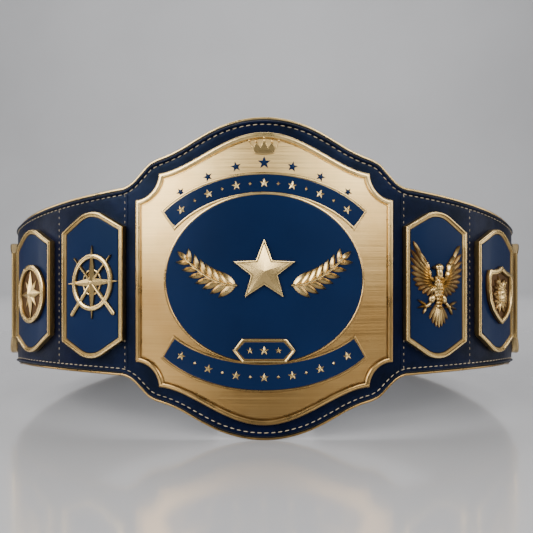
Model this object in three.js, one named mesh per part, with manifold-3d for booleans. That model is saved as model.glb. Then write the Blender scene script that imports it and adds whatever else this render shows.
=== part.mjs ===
// Championship title belt standing open on its lower edges.
// Millimetres, +Z up. The main plate faces -Y and the floor is at z = 0.
// Pieces are drawn flat first: x runs along the belt, y is height from the belt's middle line
// and z is the distance out from the face of the front leather. bendToWaist then wraps them.
import * as THREE from 'three';
import { mergeVertices } from 'three/addons/utils/BufferGeometryUtils.js';
import Module from 'manifold-3d';

const wasm = await Module();
wasm.setup();

// The waist that the belt is bent round
const BELT_LENGTH = 1310;
const WAIST_HALF_WIDTH = 257;
const FRONT_DEPTH = 165;
const BACK_DEPTH = 240;
const REST_DEPTH = 200;
const FACET = 18;
const NEAR = 1e-4;
const LINE_CLEARANCE = 0.02;

// Leather and its edging
const LEATHER = 2.4;
const BACKING = 2.4;
const PIPING = 1.5;
const PIPING_WIDTH = 7;
const PIPING_PROUD = 1.5;
const GAP = 0.3;
const LOBE_HEIGHT = 257.6;
const LOBE_REACH = 120;
const HIP_HEIGHT = 156;
const TAIL_HEIGHT = 138;
const TAPER_REACH = 262;
const TAIL_CORNER = 26;

// The edge of the lobe behind the main plate: share of the reach, share of the rise
const LOBE_EDGE = [
  { along: 0, rise: 1 },
  { along: 0.14, rise: 0.972 },
  { along: 0.28, rise: 0.885 },
  { along: 0.38, rise: 0.785 },
  { along: 0.49, rise: 0.65 },
  { along: 0.57, rise: 0.55 },
  { along: 0.665, rise: 0.46 },
  { along: 0.75, rise: 0.4 },
  { along: 0.805, rise: 0.335 },
  { along: 0.85, rise: 0.235 },
  { along: 0.925, rise: 0.075 },
  { along: 1, rise: 0 },
];

// Main plate
const MAIN_WIDTH = 208;
const MAIN_HEIGHT = 230;
const MAIN_THICK = 4;
const RIM_WIDTH = 5.2;
const RIM_RAISE = 1.3;
const CORNER_SCALLOP = 20;
const SIDE_EDGE_HEIGHT = 131;
const ARCH_FULLNESS = 0.85;
const ARCH_STEPS = 8;
const POCKET = 1.4;
const ENAMEL = 1.3;
const TRIM_WIDTH = 2;
const TRIM_RAISE = 0.7;
const BRIDGE_FOOT = 0.2;

// Oval field, banners and cartouche on the main plate
const OVAL_WIDTH = 156;
const OVAL_HEIGHT = 132;
const OVAL_SIDES = 32;
const BANNER_WIDTH = 162;
const BANNER_BOW = 0.8;
const BANNER_STEPS = 7;
const TRIM_OUTSIDE = 0.6;
const UPPER_BANNER = { middleLow: 67.5, middleHigh: 82.5, endLow: 40.3, endHigh: 54.3, endCut: 11 };
const LOWER_BANNER = { middleLow: -88, middleHigh: -66.8, endLow: -61.3, endHigh: -45, endCut: -10.5 };
const CARTOUCHE_WIDTH = 48;
const CARTOUCHE_HEIGHT = 18.4;
const CARTOUCHE_POINT = 7;
const CARTOUCHE_MIDDLE = -56;
const CARTOUCHE_RAISE = 2.6;
const CARTOUCHE_SINK = 1.3;
const RELIEF = 3;
const STAR_RADIUS = 25;
const STAR_BOSS = 15.5;
const STAR_STEP = 1.5;
const STAR_WAIST = 0.42;
const STAR_MIDDLE = 6;
const LAUREL_START = 21;
const LAUREL_REACH = 41;
const LAUREL_BOW = 11;
const LAUREL_LEAVES = 5;
const LEAF_LENGTH = 17;
const LEAF_WIDTH = 6.4;
const LEAF_BELLY = 0.45;
const LEAF_SPREAD = 0.75;
const LAUREL_TAPER = 0.3;
const STEM_STEPS = 6;
const STEM_WIDTH = 2.2;
const STEM_RAISE = 2.1;
const CREST_WIDTH = 23;
const CREST_HEIGHT = 11.5;
const CREST_MIDDLE = 104;
const CREST_RAISE = 0.8;

// Side plates, three on each side
const SIDE_WIDTH = 62;
const MAIN_TO_SIDE = 11;
const SIDE_TO_SIDE = 16;
const FIRST_HEIGHT = 122;
const OUTER_HEIGHT = 111;
const SHOULDER_RISE = 14.5;
const ARCH_RADIUS = 24;
const SIDE_DROP = 1.3;
const SIDE_THICK = 3.2;
const SIDE_RIM = 4.4;
const SIDE_RAISE = 2;

// Emblems on the side plates
const WHEEL_WIDTH = 43;
const WHEEL_HEIGHT = 46.5;
const WHEEL_RING = 3.6;
const SPIKE_BESIDE = 4;
const SPIKE_ABOVE = 7;
const WHEEL_HANDLE = 11;
const SPOKE_WIDTH = 4.6;
const SPOKE_RAISE = 2.6;
const SPIKE_BELLY = 0.28;
const ARM_TIP = 2.8;
const ARM_BELLY = 0.75;
const INNER_RING = 10;
const INNER_WALL = 1.6;
const INNER_RAISE = 1.9;
const HUB_RADIUS = 3.6;
const HUB_RAISE = 0.9;
const WHEEL_SIDES = 18;
const HUB_SIDES = 12;
const COMPASS_HEIGHT = 50;
const SHORT_POINT = 18.5;
const SHIELD_WIDTH = 43;
const SHIELD_HEIGHT = 52;
const SHIELD_MIDDLE = -5;
const SHIELD_RAISE = 4;
const SHIELD_FLOOR = 1;
const MANE_RADIUS = 13.5;
const MANE_POINTS = 12;
const MANE_WAIST = 0.78;
const MANE_STRETCH = 1.25;
const MANE_RAISE = 1.4;
const FACE_WIDTH = 14;
const FACE_HEIGHT = 21.6;
const FACE_SIDES = 12;
const MUZZLE_RADIUS = 4;
const MUZZLE_DROP = 5.4;
const MUZZLE_RAISE = 1.1;
const EAGLE_SPAN = 52;
const EAGLE_HEIGHT = 70;
const EAGLE_MIDDLE = -1;
const BODY_RAISE = 0.9;
const FEATHER_WIDTH = 7.2;
const FEATHER_BELLY = 0.62;
const LEG_BELLY = 0.4;

// The shield's right edge from its top point: shares of half its width and of half its height
const SHIELD_EDGE = [
  { across: 0, rise: 1 },
  { across: 0.3, rise: 0.87 },
  { across: 0.78, rise: 0.78 },
  { across: 1, rise: 0.5 },
  { across: 1, rise: 0.1 },
  { across: 0.86, rise: -0.35 },
  { across: 0.52, rise: -0.76 },
  { across: 0, rise: -1 },
];

// The eagle's right side, each place as shares of half its span and of half its height
const WING = [
  { foot: [0.37, 0.3], tip: [0.9, 0.98] },
  { foot: [0.38, 0.24], tip: [0.98, 0.7] },
  { foot: [0.37, 0.16], tip: [1, 0.42] },
  { foot: [0.32, 0.08], tip: [0.97, 0.18] },
  { foot: [0.29, 0.02], tip: [0.82, -0.1] },
  { foot: [0.2, -0.02], tip: [0.56, -0.26] },
  { foot: [0.08, 0.02], tip: [0.56, 0.5] },
  { foot: [0.06, -0.08], tip: [0.72, 0.14] },
];
const LEG = [
  { foot: [0.08, -0.26], tip: [0.48, -0.56], width: 6.5 },
  { foot: [0.4, -0.5], tip: [0.78, -0.42], width: 2.6 },
  { foot: [0.4, -0.5], tip: [0.78, -0.6], width: 2.6 },
  { foot: [0.4, -0.5], tip: [0.56, -0.74], width: 2.6 },
];
const TAIL = [
  { foot: [0.06, -0.32], tip: [0.22, -0.95] },
  { foot: [0.1, -0.3], tip: [0.38, -0.82] },
];
const EAGLE_BODY = [
  [0.16, -0.36], [0.22, -0.1], [0.24, 0.08], [0.16, 0.24], [0.19, 0.4], [0.06, 0.5], [-0.1, 0.46],
  [-0.22, 0.38], [-0.08, 0.38], [-0.07, 0.24], [-0.2, 0.08], [-0.18, -0.1], [-0.12, -0.36],
];

// Snap closure at the tails
const SNAP_FROM_END = 34;
const SNAP_STRIP_WIDTH = 14;
const SNAP_STRIP_HEIGHT = 92;
const SNAP_STRIP = 1.2;
const SNAP_RADIUS = 5;
const SNAP_RAISE = 3;
const SNAP_PITCH = 36;

const GOLD = { color: 0xbf9a5e, roughness: 0.34, metalness: 1 };
const NAVY_LEATHER = { color: 0x151f40, roughness: 0.45, metalness: 0 };
const BLACK_LEATHER = { color: 0x0c0c0e, roughness: 0.6, metalness: 0 };
const NAVY_ENAMEL = { color: 0x13254b, roughness: 0.15, metalness: 0 };

// Worked out from the sizes above
const HALF_LENGTH = BELT_LENGTH / 2;
const MIDDLE_HEIGHT = LOBE_HEIGHT / 2;
const DROOP = (LOBE_HEIGHT - TAIL_HEIGHT) / 2 / (FRONT_DEPTH + REST_DEPTH);
const BACK_FACE = -LEATHER - GAP - PIPING - GAP;
const MAIN_FACE = GAP + MAIN_THICK;
const MAIN_FLOOR = MAIN_FACE - POCKET;
const SIDE_FACE = GAP + SIDE_THICK;
const SIDE_ENAMEL_FACE = SIDE_FACE + GAP + ENAMEL;
const EMBLEM_LOW = SIDE_ENAMEL_FACE + GAP;
const FIRST_SIDE = MAIN_WIDTH / 2 + MAIN_TO_SIDE + SIDE_WIDTH / 2;
const SIDE_PLACES = [0, 1, 2].map((i) => FIRST_SIDE + (SIDE_WIDTH + SIDE_TO_SIDE) * i);

const root = new THREE.Group();

// Plan of the waist: points and outward directions at every facet line
function waistPlan() {
  const turns = 7200;
  const samples = [];
  let run = 0;
  let last = null;
  for (let i = 0; i <= turns; i += 1) {
    const turn = (Math.PI * i) / turns;
    const depth = turn < Math.PI / 2 ? FRONT_DEPTH : BACK_DEPTH;
    const x = WAIST_HALF_WIDTH * Math.sin(turn);
    const y = -depth * Math.cos(turn);
    if (last) run += Math.hypot(x - last.x, y - last.y);
    const outX = Math.sin(turn) / WAIST_HALF_WIDTH;
    const outY = -Math.cos(turn) / depth;
    const size = Math.hypot(outX, outY);
    last = { run, x, y, outX: outX / size, outY: outY / size };
    samples.push(last);
  }
  const lines = [];
  let at = 0;
  for (let k = 0; k <= Math.ceil(HALF_LENGTH / FACET) + 1; k += 1) {
    while (at < samples.length - 1 && samples[at].run < k * FACET) at += 1;
    lines.push(samples[at]);
  }
  return lines;
}

const PLAN = waistPlan();

function planLine(k) {
  const line = PLAN[Math.abs(k)];
  const side = k < 0 ? -1 : 1;
  const droop = DROOP * (Math.min(line.y, REST_DEPTH) + FRONT_DEPTH);
  return { x: side * line.x, y: line.y, outX: side * line.outX, outY: line.outY, droop };
}

// Flat place to its place on the bent belt, straight between facet lines k and k + 1
function onSlice(k, along, height, out) {
  const share = along / FACET - k;
  const a = planLine(k);
  const b = planLine(k + 1);
  const x = (a.x + a.outX * out) * (1 - share) + (b.x + b.outX * out) * share;
  const y = (a.y + a.outY * out) * (1 - share) + (b.y + b.outY * out) * share;
  const droop = a.droop * (1 - share) + b.droop * share;
  return [x, y, MIDDLE_HEIGHT + height - droop];
}

const onWaist = (along, height, out) => onSlice(Math.floor(along / FACET), along, height, out);

function toManifold(geometry) {
  const bare = geometry.clone();
  bare.deleteAttribute('normal');
  bare.deleteAttribute('uv');
  const merged = mergeVertices(bare, 1e-4);
  return new wasm.Manifold(new wasm.Mesh({
    numProp: 3,
    vertProperties: new Float32Array(merged.attributes.position.array),
    triVerts: new Uint32Array(merged.index.array),
  }));
}

function fromManifold(solid) {
  const mesh = solid.getMesh();
  const geometry = new THREE.BufferGeometry();
  geometry.setAttribute('position', new THREE.BufferAttribute(new Float32Array(mesh.vertProperties), 3));
  geometry.setIndex(new THREE.BufferAttribute(new Uint32Array(mesh.triVerts), 1));
  return geometry;
}

const joined = (parts) => parts.reduce((sum, part) => sum.add(part));
const cutBy = (solid, tools) => tools.reduce((left, tool) => left.subtract(tool), solid);

const onLine = (p, line) => Math.abs(p[0] - line * FACET) < NEAR;

// Faces of one slice between facet lines k and k + 1, without its cut ends
function sliceFaces(slice, k) {
  const mesh = slice.getMesh();
  const corner = (i) => [0, 1, 2].map((axis) => mesh.vertProperties[mesh.triVerts[i] * mesh.numProp + axis]);
  const faces = [];
  for (let i = 0; i < mesh.triVerts.length; i += 3) {
    const face = [corner(i), corner(i + 1), corner(i + 2)];
    const isEnd = [k, k + 1].some((line) => face.every((p) => onLine(p, line)));
    if (!isEnd) faces.push(face);
  }
  return faces;
}

// Split a face whose edge lies on a facet line at each point of the neighbouring slice on that edge
function fitToLine(face, line, points) {
  const apex = face.findIndex((p) => !onLine(p, line));
  const others = face.filter((p) => onLine(p, line));
  if (others.length !== 2) return [face];
  const [tip, a, b] = [face[apex], face[(apex + 1) % 3], face[(apex + 2) % 3]];
  const run = [b[1] - a[1], b[2] - a[2]];
  const size = Math.hypot(...run);
  const between = points
    .map((p) => ({ p, share: ((p[1] - a[1]) * run[0] + (p[2] - a[2]) * run[1]) / size ** 2 }))
    .filter(({ p, share }) => {
      const off = Math.abs((p[1] - a[1]) * run[1] - (p[2] - a[2]) * run[0]) / size;
      return off < NEAR && share * size > NEAR && (1 - share) * size > NEAR;
    })
    .sort((one, two) => one.share - two.share);
  const edge = [a, ...between.map(({ p }) => p), b];
  return edge.slice(1).map((p, i) => [tip, edge[i], p]);
}

// Move corners that lie on a facet line just past it, so that no wall is lost as a cut end
function clearOfLines(solid) {
  const geometry = fromManifold(solid);
  const place = geometry.attributes.position;
  for (let i = 0; i < place.count; i += 1) {
    const x = place.getX(i);
    const line = Math.round(x / FACET) * FACET;
    if (Math.abs(x - line) < LINE_CLEARANCE) place.setX(i, line + LINE_CLEARANCE);
  }
  return toManifold(geometry);
}

// Cut a flat solid at every facet line, wrap each slice and weld the slices again
function bendToWaist(whole) {
  const solid = clearOfLines(whole);
  const box = solid.boundingBox();
  const first = Math.floor(box.min[0] / FACET);
  const last = Math.ceil(box.max[0] / FACET) - 1;
  const slices = [];
  let rest = solid;
  for (let k = first; k <= last; k += 1) {
    const [beyond, slice] = k < last ? rest.splitByPlane([1, 0, 0], (k + 1) * FACET) : [null, rest];
    slices.push({ k, faces: sliceFaces(slice, k) });
    rest = beyond;
  }
  for (let i = 0; i < slices.length - 1; i += 1) {
    const line = slices[i].k + 1;
    const pair = [slices[i], slices[i + 1]];
    const seen = new Map();
    for (const p of pair.flatMap(({ faces }) => faces.flat())) {
      const key = `${Math.round(p[1] / NEAR / 10)},${Math.round(p[2] / NEAR / 10)}`;
      if (onLine(p, line) && !seen.has(key)) seen.set(key, p);
    }
    const points = [...seen.values()];
    for (const part of pair) part.faces = part.faces.flatMap((face) => fitToLine(face, line, points));
  }
  const bent = slices.flatMap(({ k, faces }) => faces.flat().flatMap((p) => onSlice(k, ...p)));
  const loose = new THREE.BufferGeometry();
  loose.setAttribute('position', new THREE.Float32BufferAttribute(bent, 3));
  return mergeVertices(loose, 1e-3);
}

// Points as vectors, in anticlockwise order
function turnedLeft(points) {
  const outline = points.map(([x, y]) => new THREE.Vector2(x, y));
  return THREE.ShapeUtils.isClockWise(outline) ? outline.reverse() : outline;
}

// A flat outline, a list of [x, y], with its thickness from low to high
function block(points, low, high, hole = null) {
  const shape = new THREE.Shape(turnedLeft(points));
  if (hole) shape.holes.push(new THREE.Path(turnedLeft(hole)));
  const geometry = new THREE.ExtrudeGeometry(shape, { depth: high - low, bevelEnabled: false });
  geometry.translate(0, 0, low);
  return toManifold(geometry);
}

function addPiece(name, geometry, finish) {
  const material = new THREE.MeshStandardMaterial(finish);
  geometry.computeVertexNormals();
  const mesh = new THREE.Mesh(geometry, material);
  mesh.name = name;
  root.add(mesh);
}

const addBent = (name, solid, finish) => addPiece(name, bendToWaist(solid), finish);
const shifted = (points, x, y) => points.map(([a, b]) => [a + x, b + y]);

function ellipse(halfWidth, halfHeight, sides) {
  const points = [];
  for (let i = 0; i < sides; i += 1) {
    const turn = (2 * Math.PI * i) / sides;
    points.push([halfWidth * Math.cos(turn), halfHeight * Math.sin(turn)]);
  }
  return points;
}

// A long leaf or blade from a point, in the direction of turn, widest at the share belly
function blade(x, y, turn, length, width, belly) {
  const [c, s] = [Math.cos(turn), Math.sin(turn)];
  const local = [[0, 0], [length * belly, -width / 2], [length, 0], [length * belly, width / 2]];
  return local.map(([a, b]) => [x + a * c - b * s, y + a * s + b * c]);
}

function star(points, radius, waist, stretch = 1) {
  const outline = [];
  for (let i = 0; i < points * 2; i += 1) {
    const turn = Math.PI / 2 + (Math.PI * i) / points;
    const reach = i % 2 ? radius * waist : radius;
    outline.push([reach * Math.cos(turn), reach * stretch * Math.sin(turn)]);
  }
  return outline;
}

// Half height of the belt's outer edge at a place along it
function lobeRise(share) {
  const row = Math.min(LOBE_EDGE.findIndex((r) => r.along >= share), LOBE_EDGE.length - 1);
  const i = Math.max(row, 1);
  const [a, b] = [LOBE_EDGE[i - 1], LOBE_EDGE[i]];
  return a.rise + ((b.rise - a.rise) * (share - a.along)) / (b.along - a.along);
}

function edgeHeight(along) {
  const far = Math.abs(along);
  const taper = Math.min(Math.max((far - LOBE_REACH) / (TAPER_REACH - LOBE_REACH), 0), 1);
  const strap = (HIP_HEIGHT + (TAIL_HEIGHT - HIP_HEIGHT) * taper) / 2;
  const lobe = far < LOBE_REACH ? lobeRise(far / LOBE_REACH) * (LOBE_HEIGHT - HIP_HEIGHT) / 2 : 0;
  const corner = far - (HALF_LENGTH - TAIL_CORNER);
  const round = corner > 0 ? TAIL_CORNER - Math.sqrt(Math.max(TAIL_CORNER ** 2 - corner ** 2, 0)) : 0;
  return strap + lobe - round;
}

// Places along the belt where its outline needs a point
function edgeStations(inset) {
  const places = new Set([0]);
  for (const row of LOBE_EDGE) places.add(row.along * LOBE_REACH);
  const end = HALF_LENGTH - inset;
  places.add(TAPER_REACH);
  for (const turn of [0, 22.5, 45, 67.5, 90]) {
    places.add(end - TAIL_CORNER + TAIL_CORNER * Math.sin(THREE.MathUtils.degToRad(turn)));
  }
  const half = [...places].sort((a, b) => a - b);
  return [...half.slice(1).reverse().map((s) => -s), ...half];
}

// The leather outline, drawn in from the outer edge by an even inset
function leatherOutline(inset) {
  const scale = HALF_LENGTH / (HALF_LENGTH - inset);
  const stations = edgeStations(inset);
  const top = stations.map((s) => {
    const step = 0.5;
    const flatEnd = HALF_LENGTH - inset - TAIL_CORNER;
    const slope = Math.abs(s) > flatEnd ? 0 : (edgeHeight(s + step) - edgeHeight(s - step)) / (2 * step);
    return [s, edgeHeight(s * scale) - inset * Math.hypot(1, slope)];
  });
  const bottom = top.map(([s, h]) => [s, -h]).reverse();
  return [...top, ...bottom];
}

function addLeather() {
  const front = block(leatherOutline(PIPING_PROUD), -LEATHER, 0);
  addBent('strap_front', front, NAVY_LEATHER);
  const back = block(leatherOutline(PIPING_PROUD / 2), BACK_FACE - BACKING, BACK_FACE);
  addBent('strap_back', back, BLACK_LEATHER);
  const low = BACK_FACE + GAP;
  const welt = block(leatherOutline(0), low, low + PIPING, leatherOutline(PIPING_WIDTH));
  addBent('gold_piping', welt, GOLD);
}

// Height of the main plate's edge, drawn in by an inset
function mainEdge(along, inset) {
  const far = Math.abs(along);
  const cusp = MAIN_WIDTH / 2 - CORNER_SCALLOP;
  const shoulder = SIDE_EDGE_HEIGHT / 2 + CORNER_SCALLOP;
  const rise = MAIN_HEIGHT / 2 - shoulder;
  const share = Math.min(far / cusp, 1);
  const wave = (1 + Math.cos(Math.PI * share)) / 2;
  const slope = (rise * ARCH_FULLNESS * Math.PI * Math.sin(Math.PI * share)) / (2 * cusp);
  const arch = shoulder + rise * wave ** ARCH_FULLNESS - inset * Math.hypot(1, slope);
  const reach = CORNER_SCALLOP + inset;
  const across = MAIN_WIDTH / 2 - far;
  const scallop = across < reach ? shoulder - Math.sqrt(reach ** 2 - across ** 2) : Infinity;
  return Math.min(arch, scallop);
}

function mainOutline(inset) {
  const end = MAIN_WIDTH / 2 - inset;
  const bite = MAIN_WIDTH / 2 - CORNER_SCALLOP - inset;
  const places = [0];
  for (let i = 1; i <= ARCH_STEPS; i += 1) places.push((bite * i) / ARCH_STEPS);
  for (const turn of [30, 60, 90]) {
    places.push(bite + (end - bite) * (1 - Math.cos(THREE.MathUtils.degToRad(turn))));
  }
  places[places.length - 1] = end;
  const half = places.map((s) => [s, mainEdge(s, inset)]);
  const top = [...half.slice(1).reverse().map(([s, h]) => [-s, h]), ...half];
  return [...top, ...top.map(([s, h]) => [s, -h]).reverse()];
}

// A banner bowed between its two edges, with slanting ends
function bannerOutline(form, grow) {
  const low = [];
  const high = [];
  const bow = form.endCut > 0 ? 1 : -1;
  for (let i = -BANNER_STEPS; i <= BANNER_STEPS; i += 1) {
    const share = i / BANNER_STEPS;
    const inner = BANNER_WIDTH / 2 - Math.abs(form.endCut) + grow;
    const outer = BANNER_WIDTH / 2 + grow;
    const lowReach = bow > 0 ? inner : outer;
    const highReach = bow > 0 ? outer : inner;
    const sink = 1 - Math.sqrt(1 - (share * BANNER_BOW) ** 2);
    const full = 1 - Math.sqrt(1 - BANNER_BOW ** 2);
    const drop = sink / full;
    low.push([share * lowReach, form.middleLow + (form.endLow - form.middleLow) * drop - grow]);
    high.push([share * highReach, form.middleHigh + (form.endHigh - form.middleHigh) * drop + grow]);
  }
  return [...low, ...high.reverse()];
}

function hexagon(width, height, point) {
  const [w, h] = [width / 2, height / 2];
  return [[-w, 0], [-w + point, -h], [w - point, -h], [w, 0], [w - point, h], [-w + point, h]];
}

function crest() {
  const [w, h] = [CREST_WIDTH / 2, CREST_HEIGHT / 2];
  return [
    [-0.62 * w, -h], [0.62 * w, -h], [w, 0.55 * h], [0.52 * w, -0.25 * h], [0.42 * w, 0.8 * h],
    [0.16 * w, -0.3 * h], [0, h], [-0.16 * w, -0.3 * h], [-0.42 * w, 0.8 * h], [-0.52 * w, -0.25 * h],
    [-w, 0.55 * h],
  ];
}

const ovalOutline = (grow) => ellipse(OVAL_WIDTH / 2 + grow, OVAL_HEIGHT / 2 + grow, OVAL_SIDES);
const cartoucheOutline = (shrink) => shifted(
  hexagon(CARTOUCHE_WIDTH - 2 * shrink, CARTOUCHE_HEIGHT - 2 * shrink, CARTOUCHE_POINT - shrink * 0.4),
  0, CARTOUCHE_MIDDLE,
);

function addMainPlate() {
  const past = MAIN_FACE + RIM_RAISE * 2;
  const bannerForms = [UPPER_BANNER, LOWER_BANNER];
  const plate = block(mainOutline(0), GAP, MAIN_FACE + RIM_RAISE);
  const dish = block(mainOutline(RIM_WIDTH), MAIN_FACE, past);
  const trimTop = MAIN_FACE + TRIM_RAISE;
  const outside = TRIM_WIDTH * TRIM_OUTSIDE;
  const inside = TRIM_WIDTH - outside;
  const raised = [
    block(ovalOutline(TRIM_WIDTH), MAIN_FLOOR, trimTop),
    ...bannerForms.map((form) => block(bannerOutline(form, outside), MAIN_FLOOR, trimTop)),
    block(shifted(crest(), 0, CREST_MIDDLE), MAIN_FLOOR, MAIN_FACE + CREST_RAISE),
  ];
  const pockets = [
    block(ovalOutline(0), MAIN_FLOOR, past),
    ...bannerForms.map((form) => block(bannerOutline(form, -inside), MAIN_FLOOR, past)),
  ];
  const body = cutBy(joined([cutBy(plate, [dish]), ...raised]), pockets);
  const bridges = bannerForms.map((form) => {
    const frame = block(bannerOutline(form, outside), MAIN_FLOOR - BRIDGE_FOOT, trimTop);
    return cutBy(frame, [block(bannerOutline(form, -inside), MAIN_FLOOR, past)]);
  });
  addBent('main_plate', joined([body, ...bridges]), GOLD);
}

function addMainEnamel() {
  const low = MAIN_FLOOR + GAP;
  const high = low + ENAMEL;
  const outside = TRIM_WIDTH * TRIM_OUTSIDE + GAP;
  const inside = TRIM_WIDTH * (1 - TRIM_OUTSIDE) + GAP;
  const forms = [UPPER_BANNER, LOWER_BANNER];
  const clear = forms.map((form) => block(bannerOutline(form, outside), low - 1, high + 1));
  addBent('oval_enamel', cutBy(block(ovalOutline(-GAP), low, high), clear), NAVY_ENAMEL);
  addBent('upper_banner_enamel', block(bannerOutline(UPPER_BANNER, -inside), low, high), NAVY_ENAMEL);
  addBent('lower_banner_enamel', block(bannerOutline(LOWER_BANNER, -inside), low, high), NAVY_ENAMEL);
}

function addCartouche() {
  const low = MAIN_FACE + TRIM_RAISE + GAP;
  const high = low + CARTOUCHE_RAISE;
  const floor = high - CARTOUCHE_SINK;
  const well = block(cartoucheOutline(TRIM_WIDTH), floor, high + 1);
  addBent('cartouche_frame', cutBy(block(cartoucheOutline(0), low, high), [well]), GOLD);
  const inlay = block(cartoucheOutline(TRIM_WIDTH + GAP), floor + GAP, high - GAP);
  addBent('cartouche_enamel', inlay, NAVY_ENAMEL);
}

const ornamentLow = MAIN_FLOOR + 2 * GAP + ENAMEL;
const laurelBow = (share) => STAR_MIDDLE - LAUREL_BOW + 2 * LAUREL_BOW * share ** 2;

// Bowed laurel spray that starts beside the star
function laurelSpray() {
  const low = ornamentLow;
  const spine = [];
  for (let i = 0; i <= STEM_STEPS; i += 1) {
    const share = i / STEM_STEPS;
    spine.push([LAUREL_START + LAUREL_REACH * share, laurelBow(share)]);
  }
  const under = spine.map(([x, y]) => [x, y - STEM_WIDTH / 2]);
  const over = spine.map(([x, y]) => [x, y + STEM_WIDTH / 2]).reverse();
  const parts = [block([...under, ...over], low, low + STEM_RAISE)];
  for (let i = 0; i < LAUREL_LEAVES; i += 1) {
    const share = (i + 0.35) / LAUREL_LEAVES;
    const [x, y] = [LAUREL_START + LAUREL_REACH * share, laurelBow(share)];
    const lean = Math.atan((4 * LAUREL_BOW * share) / LAUREL_REACH);
    const size = 1 - LAUREL_TAPER * share;
    for (const side of [-1, 1]) {
      const foot = y - side * STEM_WIDTH * 0.3;
      const turn = lean + side * LEAF_SPREAD;
      const leaf = blade(x, foot, turn, LEAF_LENGTH * size, LEAF_WIDTH * size, LEAF_BELLY);
      parts.push(block(leaf, low, low + RELIEF));
    }
  }
  const [tipX, tipY] = spine[STEM_STEPS];
  const [length, width] = [LEAF_LENGTH, LEAF_WIDTH].map((size) => size * (1 - LAUREL_TAPER));
  const last = blade(tipX - STEM_WIDTH, tipY, LEAF_SPREAD, length, width, LEAF_BELLY);
  parts.push(block(last, low, low + RELIEF));
  return joined(parts);
}

function addCentreOrnament() {
  const low = ornamentLow;
  const wide = shifted(star(5, STAR_RADIUS, STAR_WAIST), 0, STAR_MIDDLE);
  const boss = shifted(star(5, STAR_BOSS, STAR_WAIST), 0, STAR_MIDDLE);
  const parts = [block(wide, low, low + RELIEF), block(boss, low, low + RELIEF + STAR_STEP)];
  addBent('centre_star', joined(parts), GOLD);
  const spray = laurelSpray();
  addBent('laurel_right', spray, GOLD);
  addBent('laurel_left', spray.mirror([1, 0, 0]), GOLD);
}

// Height of a side plate's arched edge, drawn in by an inset
function sideEdge(along, plateHeight, inset) {
  const shoulder = plateHeight / 2 - SHOULDER_RISE;
  const hub = plateHeight / 2 - ARCH_RADIUS;
  const corner = { x: SIDE_WIDTH / 2, y: shoulder - hub };
  const reach = Math.hypot(corner.x, corner.y);
  const touch = Math.atan2(corner.y, corner.x) + Math.acos(ARCH_RADIUS / reach);
  const radius = ARCH_RADIUS - inset;
  const far = Math.abs(along);
  if (far < radius * Math.cos(touch)) return hub + Math.sqrt(radius ** 2 - far ** 2);
  return hub + (radius - far * Math.cos(touch)) / Math.sin(touch);
}

function sideOutline(plateHeight, inset) {
  const end = SIDE_WIDTH / 2 - inset;
  const shares = [0, 0.1, 0.2, 0.3, 0.4, 1];
  const half = shares.map((share) => [end * share, sideEdge(end * share, plateHeight, inset)]);
  const top = [...half.slice(1).reverse().map(([s, h]) => [-s, h]), ...half];
  return [...top, ...top.map(([s, h]) => [s, -h]).reverse()];
}

function addSidePlates() {
  const words = ['first', 'second', 'third'];
  const top = SIDE_FACE + SIDE_RAISE + ENAMEL;
  for (const side of [-1, 1]) {
    const sideName = side < 0 ? 'left' : 'right';
    SIDE_PLACES.forEach((place, i) => {
      const height = i === 0 ? FIRST_HEIGHT : OUTER_HEIGHT;
      const outline = (inset) => shifted(sideOutline(height, inset), side * place, -SIDE_DROP);
      const pocket = block(outline(SIDE_RIM), SIDE_FACE, top + 1);
      addBent(`${words[i]}_plate_${sideName}`, cutBy(block(outline(0), GAP, top), [pocket]), GOLD);
      const inlay = block(outline(SIDE_RIM + GAP), SIDE_FACE + GAP, SIDE_ENAMEL_FACE);
      addBent(`${words[i]}_enamel_${sideName}`, inlay, NAVY_ENAMEL);
    });
  }
}

function ovalRing(halfWidth, halfHeight, wall, low, high, sides) {
  const inside = ellipse(halfWidth - wall, halfHeight - wall, sides);
  return block(ellipse(halfWidth, halfHeight, sides), low, high, inside);
}

// Ship's wheel laid over a compass star
function addWheel() {
  const low = EMBLEM_LOW;
  const [w, h] = [WHEEL_WIDTH / 2, WHEEL_HEIGHT / 2];
  const parts = [
    ovalRing(w, h, WHEEL_RING, low, low + RELIEF, WHEEL_SIDES),
    ovalRing(INNER_RING, INNER_RING, INNER_WALL, low, low + INNER_RAISE, HUB_SIDES),
    block(ellipse(HUB_RADIUS, HUB_RADIUS, HUB_SIDES), low, low + RELIEF + HUB_RAISE),
  ];
  for (let i = 0; i < 8; i += 1) {
    const turn = (Math.PI * i) / 4;
    const straight = i % 2 === 0;
    const reach = Math.hypot(w * Math.cos(turn), h * Math.sin(turn));
    const spike = i % 4 === 0 ? SPIKE_BESIDE : SPIKE_ABOVE;
    const arm = i > 4 ? WHEEL_HANDLE : ARM_TIP;
    const past = straight ? spike : arm;
    const belly = straight ? SPIKE_BELLY : ARM_BELLY;
    parts.push(block(blade(0, 0, turn, reach + past, SPOKE_WIDTH, belly), low, low + SPOKE_RAISE));
  }
  addBent('wheel_emblem', joined(parts).translate([-FIRST_SIDE, 0, 0]), GOLD);
}

// Ringed compass star with long straight points and short slanting ones
function addCompass() {
  const low = EMBLEM_LOW;
  const [w, h] = [SHIELD_WIDTH / 2, COMPASS_HEIGHT / 2];
  const parts = [
    ovalRing(w, h, WHEEL_RING, low, low + SHIELD_RAISE, WHEEL_SIDES),
    block(star(4, w - 1, SPIKE_BELLY, h / w), low, low + RELIEF),
  ];
  for (const turn of [1, 3, 5, 7]) {
    const point = blade(0, 0, (Math.PI * turn) / 4, SHORT_POINT, SPOKE_WIDTH, SPIKE_BELLY);
    parts.push(block(point, low, low + INNER_RAISE));
  }
  addBent('compass_emblem', joined(parts).translate([-SIDE_PLACES[1], -SIDE_DROP * 2, 0]), GOLD);
}

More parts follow.
